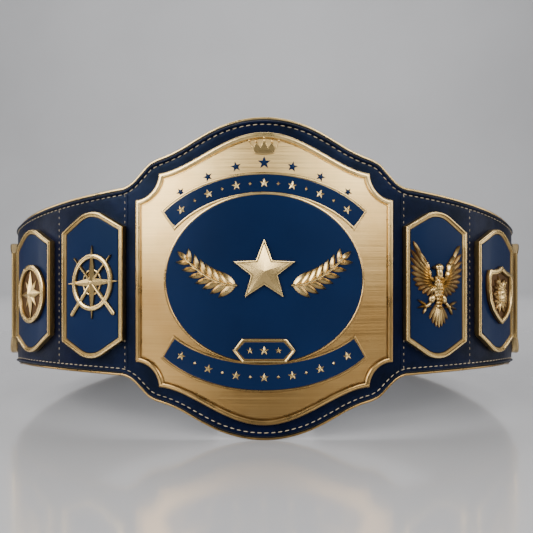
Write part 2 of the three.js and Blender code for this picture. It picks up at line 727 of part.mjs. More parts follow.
function addEagle() {
  const low = EMBLEM_LOW;
  const [w, h] = [EAGLE_SPAN / 2, EAGLE_HEIGHT / 2];
  const at = ([x, y]) => [x * w, y * h];
  const laid = (foot, tip, width, belly, raise) => {
    const [[x, y], [endX, endY]] = [at(foot), at(tip)];
    const turn = Math.atan2(endY - y, endX - x);
    return block(blade(x, y, turn, Math.hypot(endX - x, endY - y), width, belly), low, low + raise);
  };
  const parts = [block(EAGLE_BODY.map(at), low, low + RELIEF + BODY_RAISE)];
  for (const side of [-1, 1]) {
    const turned = ([x, y]) => [x * side, y];
    for (const { foot, tip } of WING) {
      parts.push(laid(turned(foot), turned(tip), FEATHER_WIDTH, FEATHER_BELLY, RELIEF));
    }
    for (const { foot, tip, width } of LEG) {
      parts.push(laid(turned(foot), turned(tip), width, LEG_BELLY, RELIEF));
    }
    for (const { foot, tip } of TAIL) {
      parts.push(laid(turned(foot), turned(tip), FEATHER_WIDTH, FEATHER_BELLY, RELIEF));
    }
  }
  parts.push(laid([0, -0.3], [0, -1], FEATHER_WIDTH, FEATHER_BELLY, RELIEF + BODY_RAISE / 2));
  addBent('eagle_emblem', joined(parts).translate([FIRST_SIDE, EAGLE_MIDDLE, 0]), GOLD);
}

function shieldOutline(inset) {
  const [w, h] = [SHIELD_WIDTH / 2 - inset, SHIELD_HEIGHT / 2 - inset];
  const right = SHIELD_EDGE.map(({ across, rise }) => [across * w, rise * h]);
  const left = right.slice(1, -1).map(([x, y]) => [-x, y]).reverse();
  return [...right, ...left];
}

function addShield() {
  const low = EMBLEM_LOW;
  const floor = low + SHIELD_FLOOR;
  const past = low + SHIELD_RAISE + 1;
  const well = block(shieldOutline(WHEEL_RING), floor, past);
  const place = [SIDE_PLACES[1], SHIELD_MIDDLE, 0];
  const shell = cutBy(block(shieldOutline(0), low, low + SHIELD_RAISE), [well]);
  addBent('shield_emblem', shell.translate(place), GOLD);
  const seat = floor + GAP;
  const mane = block(star(MANE_POINTS, MANE_RADIUS, MANE_WAIST, MANE_STRETCH), seat, seat + MANE_RAISE);
  const face = block(ellipse(FACE_WIDTH / 2, FACE_HEIGHT / 2, FACE_SIDES), seat, seat + RELIEF);
  const muzzle = shifted(ellipse(MUZZLE_RADIUS, MUZZLE_RADIUS, FACE_SIDES), 0, -MUZZLE_DROP);
  const head = joined([mane, face, block(muzzle, seat, seat + RELIEF + MUZZLE_RAISE)]);
  addBent('lion_head', head.translate(place), GOLD);
}

// Flat strip with three round caps, set square to the leather near one tail
function addSnaps(name, side, hollow) {
  const along = side * (HALF_LENGTH - SNAP_FROM_END);
  const [w, h] = [SNAP_STRIP_WIDTH / 2, SNAP_STRIP_HEIGHT / 2];
  let strip = block([[-w, -h], [w, -h], [w, h], [-w, h]], 0, SNAP_STRIP);
  for (const row of [-1, 0, 1]) {
    const cap = shifted(ellipse(SNAP_RADIUS, SNAP_RADIUS, 12), 0, row * SNAP_PITCH);
    strip = strip.add(block(cap, 0, SNAP_STRIP + SNAP_RAISE));
    if (hollow) {
      const well = shifted(ellipse(SNAP_RADIUS * 0.6, SNAP_RADIUS * 0.6, 12), 0, row * SNAP_PITCH);
      strip = strip.subtract(block(well, SNAP_STRIP, SNAP_STRIP + SNAP_RAISE + 1));
    }
  }
  const geometry = fromManifold(strip);
  const [x, y, z] = onWaist(along, 0, GAP);
  const [farX, farY] = onWaist(along, 0, GAP + 1);
  const out = new THREE.Vector3(farX - x, farY - y, 0).normalize();
  const up = new THREE.Vector3(0, 0, 1);
  const across = new THREE.Vector3().crossVectors(up, out);
  geometry.applyMatrix4(new THREE.Matrix4().makeBasis(across, up, out).setPosition(x, y, z));
  addPiece(name, geometry, GOLD);
}

addLeather();
addMainPlate();
addMainEnamel();
addCartouche();
addCentreOrnament();
addSidePlates();
addWheel();
addCompass();
addEagle();
addShield();
addSnaps('snap_studs', -1, false);
addSnaps('snap_sockets', 1, true);

// Stand the belt on the floor with the origin under the middle of its box
const bounds = new THREE.Box3().setFromObject(root);
const middle = bounds.getCenter(new THREE.Vector3());
root.position.set(-middle.x, -middle.y, -bounds.min.z);

export default root;
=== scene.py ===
"""Championship title belt: leather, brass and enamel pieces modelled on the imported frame."""

import math

import bpy
from bpy.props import FloatProperty, FloatVectorProperty, IntProperty, PointerProperty
from mathutils import Matrix, Vector


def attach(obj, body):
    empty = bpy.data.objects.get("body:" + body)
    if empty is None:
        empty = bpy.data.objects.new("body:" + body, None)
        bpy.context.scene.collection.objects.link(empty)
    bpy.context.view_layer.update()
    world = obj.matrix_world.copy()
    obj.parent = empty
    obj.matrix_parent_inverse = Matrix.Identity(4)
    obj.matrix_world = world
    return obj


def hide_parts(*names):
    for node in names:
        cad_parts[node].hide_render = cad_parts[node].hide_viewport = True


bl_info = {
    "name": "Championship title belt",
    "version": (1, 0, 0),
    "blender": (4, 5, 0),
    "location": "View3D > Sidebar > Belt",
    "description": "Models the leather, plates, enamel, emblems and studio of a championship title belt",
    "category": "Object",
}

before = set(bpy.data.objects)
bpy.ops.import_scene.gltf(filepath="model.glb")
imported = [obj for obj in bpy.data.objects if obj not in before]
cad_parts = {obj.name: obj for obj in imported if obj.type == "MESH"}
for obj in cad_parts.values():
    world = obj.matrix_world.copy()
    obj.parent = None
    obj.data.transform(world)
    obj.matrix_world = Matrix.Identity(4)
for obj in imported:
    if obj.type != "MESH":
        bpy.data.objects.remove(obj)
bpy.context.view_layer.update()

MM = 0.001

# The waist line, as the solids have it: two half ellipses seen from above.
HALF_LENGTH = 655 * MM
WAIST_HALF_WIDTH = 257 * MM
FRONT_DEPTH = 165 * MM
BACK_DEPTH = 240 * MM
REST_DEPTH = 200 * MM
LOBE_HEIGHT = 257.6 * MM
TAIL_HEIGHT = 138 * MM
HIP_HEIGHT = 156 * MM
MIDDLE_HEIGHT = LOBE_HEIGHT / 2
DROOP = (LOBE_HEIGHT - TAIL_HEIGHT) / 2 / (FRONT_DEPTH + REST_DEPTH)
ROOT_SHIFT = Vector((0, -28.057 * MM, 0))

# Levels above the front leather's face.
LEATHER = 2.4 * MM
BACK_FACE = -4.5 * MM
GAP = 0.3 * MM
PARALLEL = 0.0001
MAIN_FACE = 4.3 * MM
SIDE_TOP = 6.8 * MM
SIDE_FLOOR = 3.8 * MM
SIDE_ENAMEL_TOP = 5.1 * MM

# The leather's edge over the main plate: share of the reach, share of the rise.
LOBE_REACH = 120 * MM
TAPER_REACH = 262 * MM
TAIL_CORNER = 26 * MM
LOBE_EDGE = (
    (0, 1), (0.14, 0.972), (0.28, 0.885), (0.38, 0.785), (0.49, 0.65), (0.57, 0.55),
    (0.665, 0.46), (0.75, 0.4), (0.805, 0.335), (0.85, 0.235), (0.925, 0.075), (1, 0),
)

MAIN_WIDTH = 208 * MM
MAIN_HEIGHT = 230 * MM
SIDE_EDGE_HEIGHT = 131 * MM
CORNER_SCALLOP = 20 * MM
CROWN_FULLNESS = 0.85
OVAL = (78 * MM, 66 * MM)
OVAL_SIDES = 96
BANNER_WIDTH = 162 * MM
BANNER_BOW = 0.8
UPPER_BANNER = {"low": 67.5, "high": 82.5, "end_low": 40.3, "end_high": 54.3, "end_cut": 11}
LOWER_BANNER = {"low": -88, "high": -66.8, "end_low": -61.3, "end_high": -45, "end_cut": -10.5}
CARTOUCHE = (24 * MM, 9.2 * MM)
CARTOUCHE_POINT = 7 * MM
CARTOUCHE_MIDDLE = -56 * MM

SIDE_WIDTH = 62 * MM
FIRST_SIDE = 146 * MM
SIDE_SPACING = 78 * MM
FIRST_HEIGHT = 122 * MM
OUTER_HEIGHT = 111 * MM
SHOULDER_RISE = 14.5 * MM
ARCH_RADIUS = 24 * MM


def waist_line():
    """Points along the waist as (length, turn), from the middle of the front to a tail."""
    line = []
    length = 0
    last = Vector((0, -FRONT_DEPTH))
    steps = 3000
    for step in range(steps + 1):
        turn = math.pi * step / steps
        depth = FRONT_DEPTH if turn < math.pi / 2 else BACK_DEPTH
        here = Vector((WAIST_HALF_WIDTH * math.sin(turn), -depth * math.cos(turn)))
        length += (here - last).length
        line.append((length, turn))
        last = here
    return line


WAIST_LINE = waist_line()


def turn_at(length):
    """The turn round the waist at that length along the belt."""
    low = 0
    high = len(WAIST_LINE) - 1
    while high - low > 1:
        middle = (low + high) // 2
        if WAIST_LINE[middle][0] < abs(length):
            low = middle
        else:
            high = middle
    before, after = WAIST_LINE[low], WAIST_LINE[high]
    share = (abs(length) - before[0]) / (after[0] - before[0])
    turn = before[1] + (after[1] - before[1]) * share
    return math.copysign(turn, length)


def on_waist(point):
    """Takes a flat point (along, height, out from the leather) to its place on the standing belt."""
    along, height, out = point
    turn = turn_at(along)
    depth = FRONT_DEPTH if abs(turn) < math.pi / 2 else BACK_DEPTH
    x = WAIST_HALF_WIDTH * math.sin(turn)
    y = -depth * math.cos(turn)
    outward = Vector((math.sin(turn) / WAIST_HALF_WIDTH, -math.cos(turn) / depth)).normalized()
    droop = DROOP * (min(y, REST_DEPTH) + FRONT_DEPTH)
    place = Vector((x + out * outward.x, y + out * outward.y, MIDDLE_HEIGHT + height - droop))
    return place + ROOT_SHIFT


def deselect():
    """Nothing stays selected, so the next operator touches only what it is meant to."""
    if bpy.context.object and bpy.context.object.mode != "OBJECT":
        bpy.ops.object.mode_set(mode="OBJECT")
    bpy.ops.object.select_all(action="DESELECT")


def choose(piece):
    """Makes the piece the only selected and active object."""
    deselect()
    piece.select_set(True)
    bpy.context.view_layer.objects.active = piece


def flat_face(name, outline, level):
    """A flat face of that outline, at that level above the leather."""
    deselect()
    bpy.ops.mesh.primitive_circle_add(vertices=len(outline), fill_type="NGON")
    piece = bpy.context.object
    piece.name = name
    for vertex, place in zip(piece.data.vertices, outline):
        vertex.co = (place[0], place[1], level)
    return piece


def meeting(first, second, corner, distance):
    """Where two edges' lines meet once both have moved inwards, each given as (start, direction)."""
    cross = first[1].x * second[1].y - first[1].y * second[1].x
    if abs(cross) < PARALLEL:
        return corner + distance * Vector((-second[1].y, second[1].x))
    start = first[0] + distance * Vector((-first[1].y, first[1].x))
    gap = second[0] + distance * Vector((-second[1].y, second[1].x)) - start
    return start + first[1] * (gap.x * second[1].y - gap.y * second[1].x) / cross


def inner_outline(outline, distance):
    """The outline moved inwards, where short edges that would turn over shrink to one point."""
    corners = [Vector(place) for place in outline]
    count = len(corners)
    area = sum(a.x * b.y - a.y * b.x for a, b in zip(corners, corners[1:] + corners[:1]))
    if area < 0:
        distance = -distance
    edges = [(corners[n], (corners[(n + 1) % count] - corners[n]).normalized()) for n in range(count)]
    kept = [n for n in range(count) if edges[n][1].length > 0.5]
    while len(kept) > 3:
        places = [
            meeting(edges[before], edges[after], corners[after], distance)
            for before, after in zip(kept[-1:] + kept[:-1], kept)
        ]
        ends = places[1:] + places[:1]
        turned = [n for n, here, there in zip(kept, places, ends) if (there - here).dot(edges[n][1]) < 0]
        if not turned:
            break
        kept = [n for n in kept if n not in turned]
    inner = []
    for number in range(count):
        after = next((place for n, place in zip(kept, places) if n >= number), places[0])
        inner.append(after)
    return inner


def pull_up(piece, height, steps=()):
    """Extrudes the flat face up, then goes inwards and up by each step's pair of sizes."""
    choose(piece)
    outline = [tuple(piece.data.vertices[n].co.xy) for n in piece.data.polygons[0].vertices]
    numbers = {place: number for number, place in enumerate(outline)}
    level = piece.data.vertices[0].co.z + height
    reach = 0
    bpy.ops.object.mode_set(mode="EDIT")
    bpy.ops.mesh.select_all(action="SELECT")
    bpy.ops.mesh.extrude_region_move(TRANSFORM_OT_translate={"value": (0, 0, height)})
    for inwards, up in steps:
        reach += inwards
        level += up
        bpy.ops.mesh.extrude_region_move(TRANSFORM_OT_translate={"value": (0, 0, up)})
        bpy.ops.object.mode_set(mode="OBJECT")
        inner = inner_outline(outline, reach)
        placed = {}
        for vertex in piece.data.vertices:
            if vertex.select:
                number = numbers[tuple(vertex.co.xy)]
                vertex.co = (*inner[number], level)
                placed[tuple(vertex.co.xy)] = number
        numbers = placed
        bpy.ops.object.mode_set(mode="EDIT")
        bpy.ops.mesh.remove_doubles(threshold=0.000001)
    bpy.ops.object.mode_set(mode="OBJECT")
    return piece


def point_up(piece, height):
    """Raises the middle of the selected top face to a point, as on a bevelled star."""
    choose(piece)
    bpy.ops.object.mode_set(mode="EDIT")
    bpy.ops.mesh.poke(offset=height)
    bpy.ops.object.mode_set(mode="OBJECT")
    return piece


def close_up(piece):
    """Merges doubles and turns every face outwards."""
    choose(piece)
    bpy.ops.object.mode_set(mode="EDIT")
    bpy.ops.mesh.select_all(action="SELECT")
    bpy.ops.mesh.remove_doubles(threshold=0.00001)
    bpy.ops.mesh.normals_make_consistent(inside=False)
    bpy.ops.object.mode_set(mode="OBJECT")
    return piece


def cut_strips(piece, step):
    """Cuts the flat piece across at even places, so that it can follow the curve of the waist."""
    places = [vertex.co.x for vertex in piece.data.vertices]
    first = math.ceil(min(places) / step + 0.01)
    last = math.floor(max(places) / step - 0.01)
    choose(piece)
    bpy.ops.object.mode_set(mode="EDIT")
    for number in range(first, last + 1):
        bpy.ops.mesh.select_all(action="SELECT")
        bpy.ops.mesh.bisect(plane_co=(number * step, 0, 0), plane_no=(1, 0, 0))
    bpy.ops.object.mode_set(mode="OBJECT")
    return piece


def note_rise(piece, low, high, foot=0.0):
    """Keeps each vertex's share of the height between two levels, which the finishes read: the cast finish
    browns the low places by it, as patina in the hollows and painted shade down the walls, and the foot lifts
    the share of the bottom ring.
    """
    base = min(vertex.co.z for vertex in piece.data.vertices) + 0.01 * MM
    rise = piece.data.attributes.new("rise", "FLOAT", "POINT")
    for vertex, value in zip(piece.data.vertices, rise.data):
        share = min(1, max(0, (vertex.co.z - low) / (high - low)))
        value.value = max(share, foot) if vertex.co.z < base else share


def wrap(piece):
    """Bends the flat piece round the waist, with its place in its mesh."""
    for vertex in piece.data.vertices:
        vertex.co = on_waist(vertex.co)
    piece.data.update()


def smooth(piece, angle=35, weighted=True):
    """Smooth shading that leaves large flat faces flat."""
    choose(piece)
    bpy.ops.object.shade_smooth_by_angle(angle=math.radians(angle))
    if weighted:
        bpy.ops.object.modifier_add(type="WEIGHTED_NORMAL")
        bpy.context.object.modifiers[-1].keep_sharp = True
        bpy.ops.object.modifier_apply(modifier=bpy.context.object.modifiers[-1].name)


def joined(pieces, name):
    """One piece of several."""
    deselect()
    for piece in pieces:
        piece.select_set(True)
    bpy.context.view_layer.objects.active = pieces[0]
    if len(pieces) > 1:
        bpy.ops.object.join()
    piece = bpy.context.object
    piece.name = name
    piece.data.name = name
    return piece


def remove(piece):
    """Takes a pattern piece away once its copies are made."""
    choose(piece)
    bpy.ops.object.delete()


def finish_piece(piece, material, nodes=(), angle=35, weighted=True):
    """Shades the bent piece, gives it its finish and seats it on the belt."""
    smooth(piece, angle, weighted)
    piece.data.materials.clear()
    piece.data.materials.append(material)
    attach(piece, "root")
    if nodes:
        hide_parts(*nodes)
    return piece


def spot(x, y, level=0, turn=0, size=1):
    """A matrix that sizes and turns a pattern piece and puts it on the flat belt."""
    place = Matrix.Translation((x, y, level)) @ Matrix.Rotation(turn, 4, "Z")
    if isinstance(size, (int, float)):
        size = (size, size, size)
    return place @ Matrix.Diagonal((*size, 1))


class BeltSizes(bpy.types.PropertyGroup):
    """The sizes of the small work that a maker would change."""

    border_width: FloatProperty(
        name="Border width", description="Width of the rolled leather border",
        default=6.2 * MM, subtype="DISTANCE", unit="LENGTH",
    )
    border_rise: FloatProperty(
        name="Border rise", description="How far the rolled border stands up",
        default=1.1 * MM, subtype="DISTANCE", unit="LENGTH",
    )
    stitch_length: FloatProperty(
        name="Stitch length", description="Length of one stitch",
        default=3.5 * MM, subtype="DISTANCE", unit="LENGTH",
    )
    stitch_pitch: FloatProperty(
        name="Stitch pitch", description="Distance from stitch to stitch",
        default=5.5 * MM, subtype="DISTANCE", unit="LENGTH",
    )
    thread: FloatProperty(
        name="Thread", description="Thickness of the stitching thread",
        default=0.8 * MM, subtype="DISTANCE", unit="LENGTH",
    )
    rim_width: FloatProperty(
        name="Main rim width", description="Width of the raised rim round the main plate",
        default=5.2 * MM, subtype="DISTANCE", unit="LENGTH",
    )
    side_rim: FloatProperty(
        name="Side rim width", description="Width of the raised rim round a side plate",
        default=4.4 * MM, subtype="DISTANCE", unit="LENGTH",
    )
    trim: FloatProperty(
        name="Enamel trim", description="Width of the raised line round an enamel field",
        default=2 * MM, subtype="DISTANCE", unit="LENGTH",
    )
    mane: IntProperty(
        name="Mane locks", description="Locks in each ring of the lion's mane", default=15, min=9, max=24,
    )


class BeltColours(bpy.types.PropertyGroup):
    """The colours of the belt and its studio."""

    gold: FloatVectorProperty(
        name="Gold", description="Brushed faces", default=(0.82, 0.585, 0.25),
        subtype="COLOR", min=0, max=1, size=3,
    )
    # Dark gold of the cast pieces: patina in hollows and worn places, and painted shade low on the walls and in
    # recesses
    patina_and_shade: FloatVectorProperty(
        name="Old gold", description="Hollows and worn places", default=(0.075, 0.036, 0.012),
        subtype="COLOR", min=0, max=1, size=3,
    )
    enamel: FloatVectorProperty(
        name="Enamel", description="Navy enamel fields", default=(0.0026, 0.0080, 0.031),
        subtype="COLOR", min=0, max=1, size=3,
    )
    leather: FloatVectorProperty(
        name="Leather", description="Navy front leather", default=(0.0012, 0.0021, 0.0100),
        subtype="COLOR", min=0, max=1, size=3,
    )
    lining: FloatVectorProperty(
        name="Lining", description="Black back leather", default=(0.012, 0.011, 0.011),
        subtype="COLOR", min=0, max=1, size=3,
    )
    thread: FloatVectorProperty(
        name="Thread", description="Stitching thread", default=(0.34, 0.28, 0.19),
        subtype="COLOR", min=0, max=1, size=3,
    )
    floor: FloatVectorProperty(
        name="Floor", description="Studio floor and backdrop", default=(0.385, 0.387, 0.40),
        subtype="COLOR", min=0, max=1, size=3,
    )


def sizes():
    """The sizes set in the panel."""
    return bpy.context.scene.belt_sizes


def colours():
    """The colours set in the panel."""
    return bpy.context.scene.belt_colours


def new_finish(name):
    """A new material with its shader, and the group of nodes to build it from."""
    material = bpy.data.materials.new(name)
    material.use_nodes = True
    nodes = material.node_tree.nodes
    return material, nodes, material.node_tree.links, nodes["Principled BSDF"]


def placed_noise(nodes, links, scale, size, detail=4, roughness=0.55):
    """Noise on the object's own coordinates, stretched by the scale."""
    place = nodes.new("ShaderNodeTexCoord")
    mapping = nodes.new("ShaderNodeMapping")
    mapping.inputs["Scale"].default_value = scale
    noise = nodes.new("ShaderNodeTexNoise")
    noise.inputs["Scale"].default_value = size
    noise.inputs["Detail"].default_value = detail
    noise.inputs["Roughness"].default_value = roughness
    links.new(place.outputs["Object"], mapping.inputs["Vector"])
    links.new(mapping.outputs["Vector"], noise.inputs["Vector"])
    return noise.outputs["Fac"]


def ramp(nodes, links, source, stops):
    """Turns a grey value into colours by the stops, each a place and a colour."""
    node = nodes.new("ShaderNodeValToRGB")
    while len(node.color_ramp.elements) < len(stops):
        node.color_ramp.elements.new(0.5)
    for element, (place, colour) in zip(node.color_ramp.elements, stops):
        element.position = place
        element.color = (*colour, 1)
    links.new(source, node.inputs["Fac"])
    return node.outputs["Color"]


def spread(nodes, links, source, low, high, start=0, end=1):
    """Maps a value from one range to another."""
    node = nodes.new("ShaderNodeMapRange")
    node.inputs["From Min"].default_value = start
    node.inputs["From Max"].default_value = end
    node.inputs["To Min"].default_value = low
    node.inputs["To Max"].default_value = high
    links.new(source, node.inputs["Value"])
    return node.outputs["Result"]


def blend_colours(nodes, links, share, first, second, way="MIX"):
    """Mixes two colours by a share, which may be a number or a node's value."""
    node = nodes.new("ShaderNodeMix")
    node.data_type = "RGBA"
    node.blend_type = way
    for socket, value in ((node.inputs[0], share), (node.inputs[6], first), (node.inputs[7], second)):
        if isinstance(value, bpy.types.NodeSocket):
            links.new(value, socket)
        elif isinstance(value, (int, float)):
            socket.default_value = value
        else:
            socket.default_value = (*value, 1)
    return node.outputs[2]


def bumped(nodes, links, shader, height, strength, distance, before=None):
    """Adds a bump, on top of another one where given."""
    node = nodes.new("ShaderNodeBump")
    node.inputs["Strength"].default_value = strength
    node.inputs["Distance"].default_value = distance
    links.new(height, node.inputs["Height"])
    if before:
        links.new(before, node.inputs["Normal"])
    links.new(node.outputs["Normal"], shader.inputs["Normal"])
    return node.outputs["Normal"]


def shade(colour, factor):
    """A lighter or darker colour."""
    return tuple(min(1, part * factor) for part in colour)


def painted_falloff_shade(nodes, links):
    """A brown tone that deepens towards the foot of the belt, in place of light that falls off there."""
    place = nodes.new("ShaderNodeTexCoord")
    parts = nodes.new("ShaderNodeSeparateXYZ")
    links.new(place.outputs["Object"], parts.inputs["Vector"])
    # Painted shade: the ramp darkens and browns the metal towards the foot of the belt
    height = spread(nodes, links, parts.outputs["Z"], 0, 1, 30 * MM, 215 * MM)
    return ramp(nodes, links, height, (
        (0, (0.40, 0.35, 0.30)), (0.45, (0.46, 0.40, 0.34)), (0.78, (0.97, 0.94, 0.90)), (1, (1, 1, 1)),
    ))


def brushed_gold():
    """Brass with fine level brush lines, soft mottling, browner worn patches, and painted shade that browns it
    towards the foot of the belt.
    """
    material, nodes, links, shader = new_finish("brushed_gold")
    gold = colours().gold
    lines = placed_noise(nodes, links, (9, 9, 1400), 1, 3, 0.6)
    wide = placed_noise(nodes, links, (3, 3, 260), 1, 4, 0.6)
    mottle = placed_noise(nodes, links, (1, 1, 1), 26, 5, 0.6)
    fine = ramp(nodes, links, lines, ((0.25, shade(gold, 0.88)), (0.75, shade(gold, 1.12))))
    broad = ramp(nodes, links, wide, ((0.3, (0.92, 0.91, 0.88)), (0.7, (1, 1, 1))))
    base = blend_colours(nodes, links, 1, fine, broad, "MULTIPLY")
    worn = ramp(nodes, links, mottle, ((0.35, (0.88, 0.83, 0.76)), (0.65, (1, 1, 1))))
    base = blend_colours(nodes, links, 1, base, worn, "MULTIPLY")
    # Painted shade: the base is darkened and browned towards the foot of the belt
    links.new(blend_colours(nodes, links, 1, base, painted_falloff_shade(nodes, links), "MULTIPLY"), shader.inputs["Base Color"])
    shader.inputs["Metallic"].default_value = 1
    links.new(spread(nodes, links, lines, 0.30, 0.46, 0.3, 0.7), shader.inputs["Roughness"])
    bumped(nodes, links, shader, lines, 0.35, 0.00004)
    return material


def cast_gold():
    """Cast and polished brass: bright on its high places, brown in its hollows and low on its walls, partly as
    patina and partly as painted shade.
    """
    material, nodes, links, shader = new_finish("cast_gold")
    gold, dark_gold = colours().gold, colours().patina_and_shade
    rise = nodes.new("ShaderNodeAttribute")
    rise.attribute_name = "rise"
    grain = placed_noise(nodes, links, (1, 1, 1), 420, 4, 0.6)
    cloud = placed_noise(nodes, links, (1, 1, 1), 55, 3, 0.5)
    height = nodes.new("ShaderNodeMath")
    height.operation = "MULTIPLY_ADD"
    links.new(cloud, height.inputs[0])
    height.inputs[1].default_value = 0.35
    links.new(rise.outputs["Fac"], height.inputs[2])
    # Patina and painted shade: low places blend to the dark gold by their height share, and the cloud adds worn
    # patches at random
    gold_share = spread(nodes, links, height.outputs[0], 0, 1, 0.42, 1.0)
    base = blend_colours(nodes, links, gold_share, dark_gold, shade(gold, 0.68))
    specks = ramp(nodes, links, grain, ((0.3, (0.93, 0.91, 0.88)), (0.7, (1, 1, 1))))
    links.new(blend_colours(nodes, links, 1, base, specks, "MULTIPLY"), shader.inputs["Base Color"])
    shader.inputs["Metallic"].default_value = 1
    links.new(spread(nodes, links, gold_share, 0.46, 0.26), shader.inputs["Roughness"])
    bumped(nodes, links, shader, grain, 0.12, 0.00004)
    return material


def polished_gold():
    """Smooth polished brass of rims and trims, faintly scratched, with painted shade that browns it towards the
    foot of the belt.
    """
    material, nodes, links, shader = new_finish("polished_gold")
    gold = colours().gold
    haze = placed_noise(nodes, links, (1, 1, 1), 60, 4, 0.6)
    lines = placed_noise(nodes, links, (40, 40, 700), 1, 3, 0.6)
    base = ramp(nodes, links, haze, ((0.3, shade(gold, 0.70)), (0.7, shade(gold, 0.92))))
    # Painted shade: the base is darkened and browned towards the foot of the belt
    links.new(blend_colours(nodes, links, 1, base, painted_falloff_shade(nodes, links), "MULTIPLY"), shader.inputs["Base Color"])
    shader.inputs["Metallic"].default_value = 1
    links.new(spread(nodes, links, haze, 0.24, 0.34, 0.3, 0.7), shader.inputs["Roughness"])
    bumped(nodes, links, shader, lines, 0.06, 0.00002)
    return material


def navy_enamel():
    """Hard glossy navy enamel with a little depth and a few hairline marks."""
    material, nodes, links, shader = new_finish("navy_enamel")
    enamel = colours().enamel
    depth = placed_noise(nodes, links, (1, 1, 1), 14, 3, 0.5)
    marks = placed_noise(nodes, links, (1, 1, 1), 900, 3, 0.6)
    base = ramp(nodes, links, depth, ((0.3, shade(enamel, 0.86)), (0.7, shade(enamel, 1.16))))
    links.new(base, shader.inputs["Base Color"])
    links.new(spread(nodes, links, marks, 0.34, 0.46, 0.3, 0.7), shader.inputs["Roughness"])
    shader.inputs["Specular IOR Level"].default_value = 0.09
    shader.inputs["Specular Tint"].default_value = (0.35, 0.62, 1, 1)
    shader.inputs["Coat Weight"].default_value = 0.04
    shader.inputs["Coat Roughness"].default_value = 0.12
    bumped(nodes, links, shader, marks, 0.04, 0.00005)
    return material


def hide(name, colour, gloss, crease):
    """Leather: pebbled grain with pores, fine creases and a polish that varies."""
    material, nodes, links, shader = new_finish(name)
    place = nodes.new("ShaderNodeTexCoord")
    pebbles = nodes.new("ShaderNodeTexVoronoi")
    pebbles.feature = "DISTANCE_TO_EDGE"
    pebbles.inputs["Scale"].default_value = 900
    links.new(place.outputs["Object"], pebbles.inputs["Vector"])
    fine = placed_noise(nodes, links, (1, 1, 1), 1500, 3, 0.6)
    cloud = placed_noise(nodes, links, (1, 1, 1), 34, 5, 0.62)
    base = ramp(nodes, links, cloud, ((0.34, shade(colour, 0.5)), (0.64, shade(colour, 1.8))))
    edge = spread(nodes, links, pebbles.outputs["Distance"], 0.55, 1, 0, 0.12)
    dark = nodes.new("ShaderNodeCombineColor")
    for socket in dark.inputs[:3]:
        links.new(edge, socket)
    links.new(
        blend_colours(nodes, links, 1, base, dark.outputs["Color"], "MULTIPLY"), shader.inputs["Base Color"]
    )
    links.new(spread(nodes, links, cloud, gloss + 0.14, gloss - 0.04, 0.3, 0.7), shader.inputs["Roughness"])
    shader.inputs["Specular IOR Level"].default_value = 0.09
    shader.inputs["Specular Tint"].default_value = (0.4, 0.62, 1, 1)
    first = bumped(nodes, links, shader, pebbles.outputs["Distance"], 0.35, 0.00022)
    second = bumped(nodes, links, shader, fine, 0.2, 0.00008, first)
    bumped(nodes, links, shader, cloud, crease, 0.0012, second)
    return material


def thread_finish():
    """Waxed thread, twisted and a little soiled."""
    material, nodes, links, shader = new_finish("waxed_thread")
    twist = nodes.new("ShaderNodeTexWave")
    twist.inputs["Scale"].default_value = 700
    twist.inputs["Distortion"].default_value = 1.5
    place = nodes.new("ShaderNodeTexCoord")
    links.new(place.outputs["Object"], twist.inputs["Vector"])
    soil = placed_noise(nodes, links, (1, 1, 1), 90, 3, 0.5)
    thread = colours().thread
    base = ramp(nodes, links, soil, ((0.3, shade(thread, 0.5)), (0.65, shade(thread, 1.1))))
    links.new(base, shader.inputs["Base Color"])
    shader.inputs["Roughness"].default_value = 0.6
    bumped(nodes, links, shader, twist.outputs["Fac"], 0.4, 0.0001)
    return material


FINISHES = {}


def finish(name):
    """A finish by name, made the first time that a piece asks for it."""
    makers = {
        "brushed": brushed_gold,
        "cast": cast_gold,
        "polished": polished_gold,
        "enamel": navy_enamel,
        "leather": lambda: hide("navy_leather", colours().leather, 0.34, 0.5),
        "lining": lambda: hide("black_lining", colours().lining, 0.5, 0.6),
        "thread": thread_finish,
    }
    if name not in FINISHES:
        FINISHES[name] = makers[name]()
    return FINISHES[name]


def mirrored_outline(half):
    """A closed outline, anticlockwise, from the right half of its top edge: x from 0 up to the end."""
    top = [(-x, y) for x, y in half[:0:-1]] + list(half)
    return [(x, -y) for x, y in top] + [(x, y) for x, y in top[::-1]]


def moved(outline, x, y):
    """The outline moved along and up."""
    return [(place[0] + x, place[1] + y) for place in outline]


def ellipse(half_width, half_height, sides=72):
    """An anticlockwise ellipse."""
    turns = [2 * math.pi * number / sides for number in range(sides)]
    return [(half_width * math.cos(turn), half_height * math.sin(turn)) for turn in turns]


def lobe_rise(share):
    """The smooth curve through the rows of the lobe's edge."""
    rows = LOBE_EDGE
    slopes = [0]
    for before, after in zip(rows, rows[2:]):
        slopes.append((after[1] - before[1]) / (after[0] - before[0]))
    slopes.append(-0.45)
    number = 1
    while number < len(rows) - 1 and rows[number][0] < share:
        number += 1
    before, after = rows[number - 1], rows[number]
    width = after[0] - before[0]
    part = (share - before[0]) / width
    rest = 1 - part
    return (
        before[1] * (1 + 2 * part) * rest ** 2
        + slopes[number - 1] * width * part * rest ** 2
        + after[1] * part ** 2 * (3 - 2 * part)
        - slopes[number] * width * part ** 2 * rest
    )


def edge_height(along):
    """Half the height of the belt's outer edge, without its rounded tail corners."""
    far = abs(along)
    taper = min(max((far - LOBE_REACH) / (TAPER_REACH - LOBE_REACH), 0), 1)
    strap = (HIP_HEIGHT + (TAIL_HEIGHT - HIP_HEIGHT) * taper) / 2
    lobe = lobe_rise(far / LOBE_REACH) * (LOBE_HEIGHT - HIP_HEIGHT) / 2 if far < LOBE_REACH else 0
    return strap + lobe


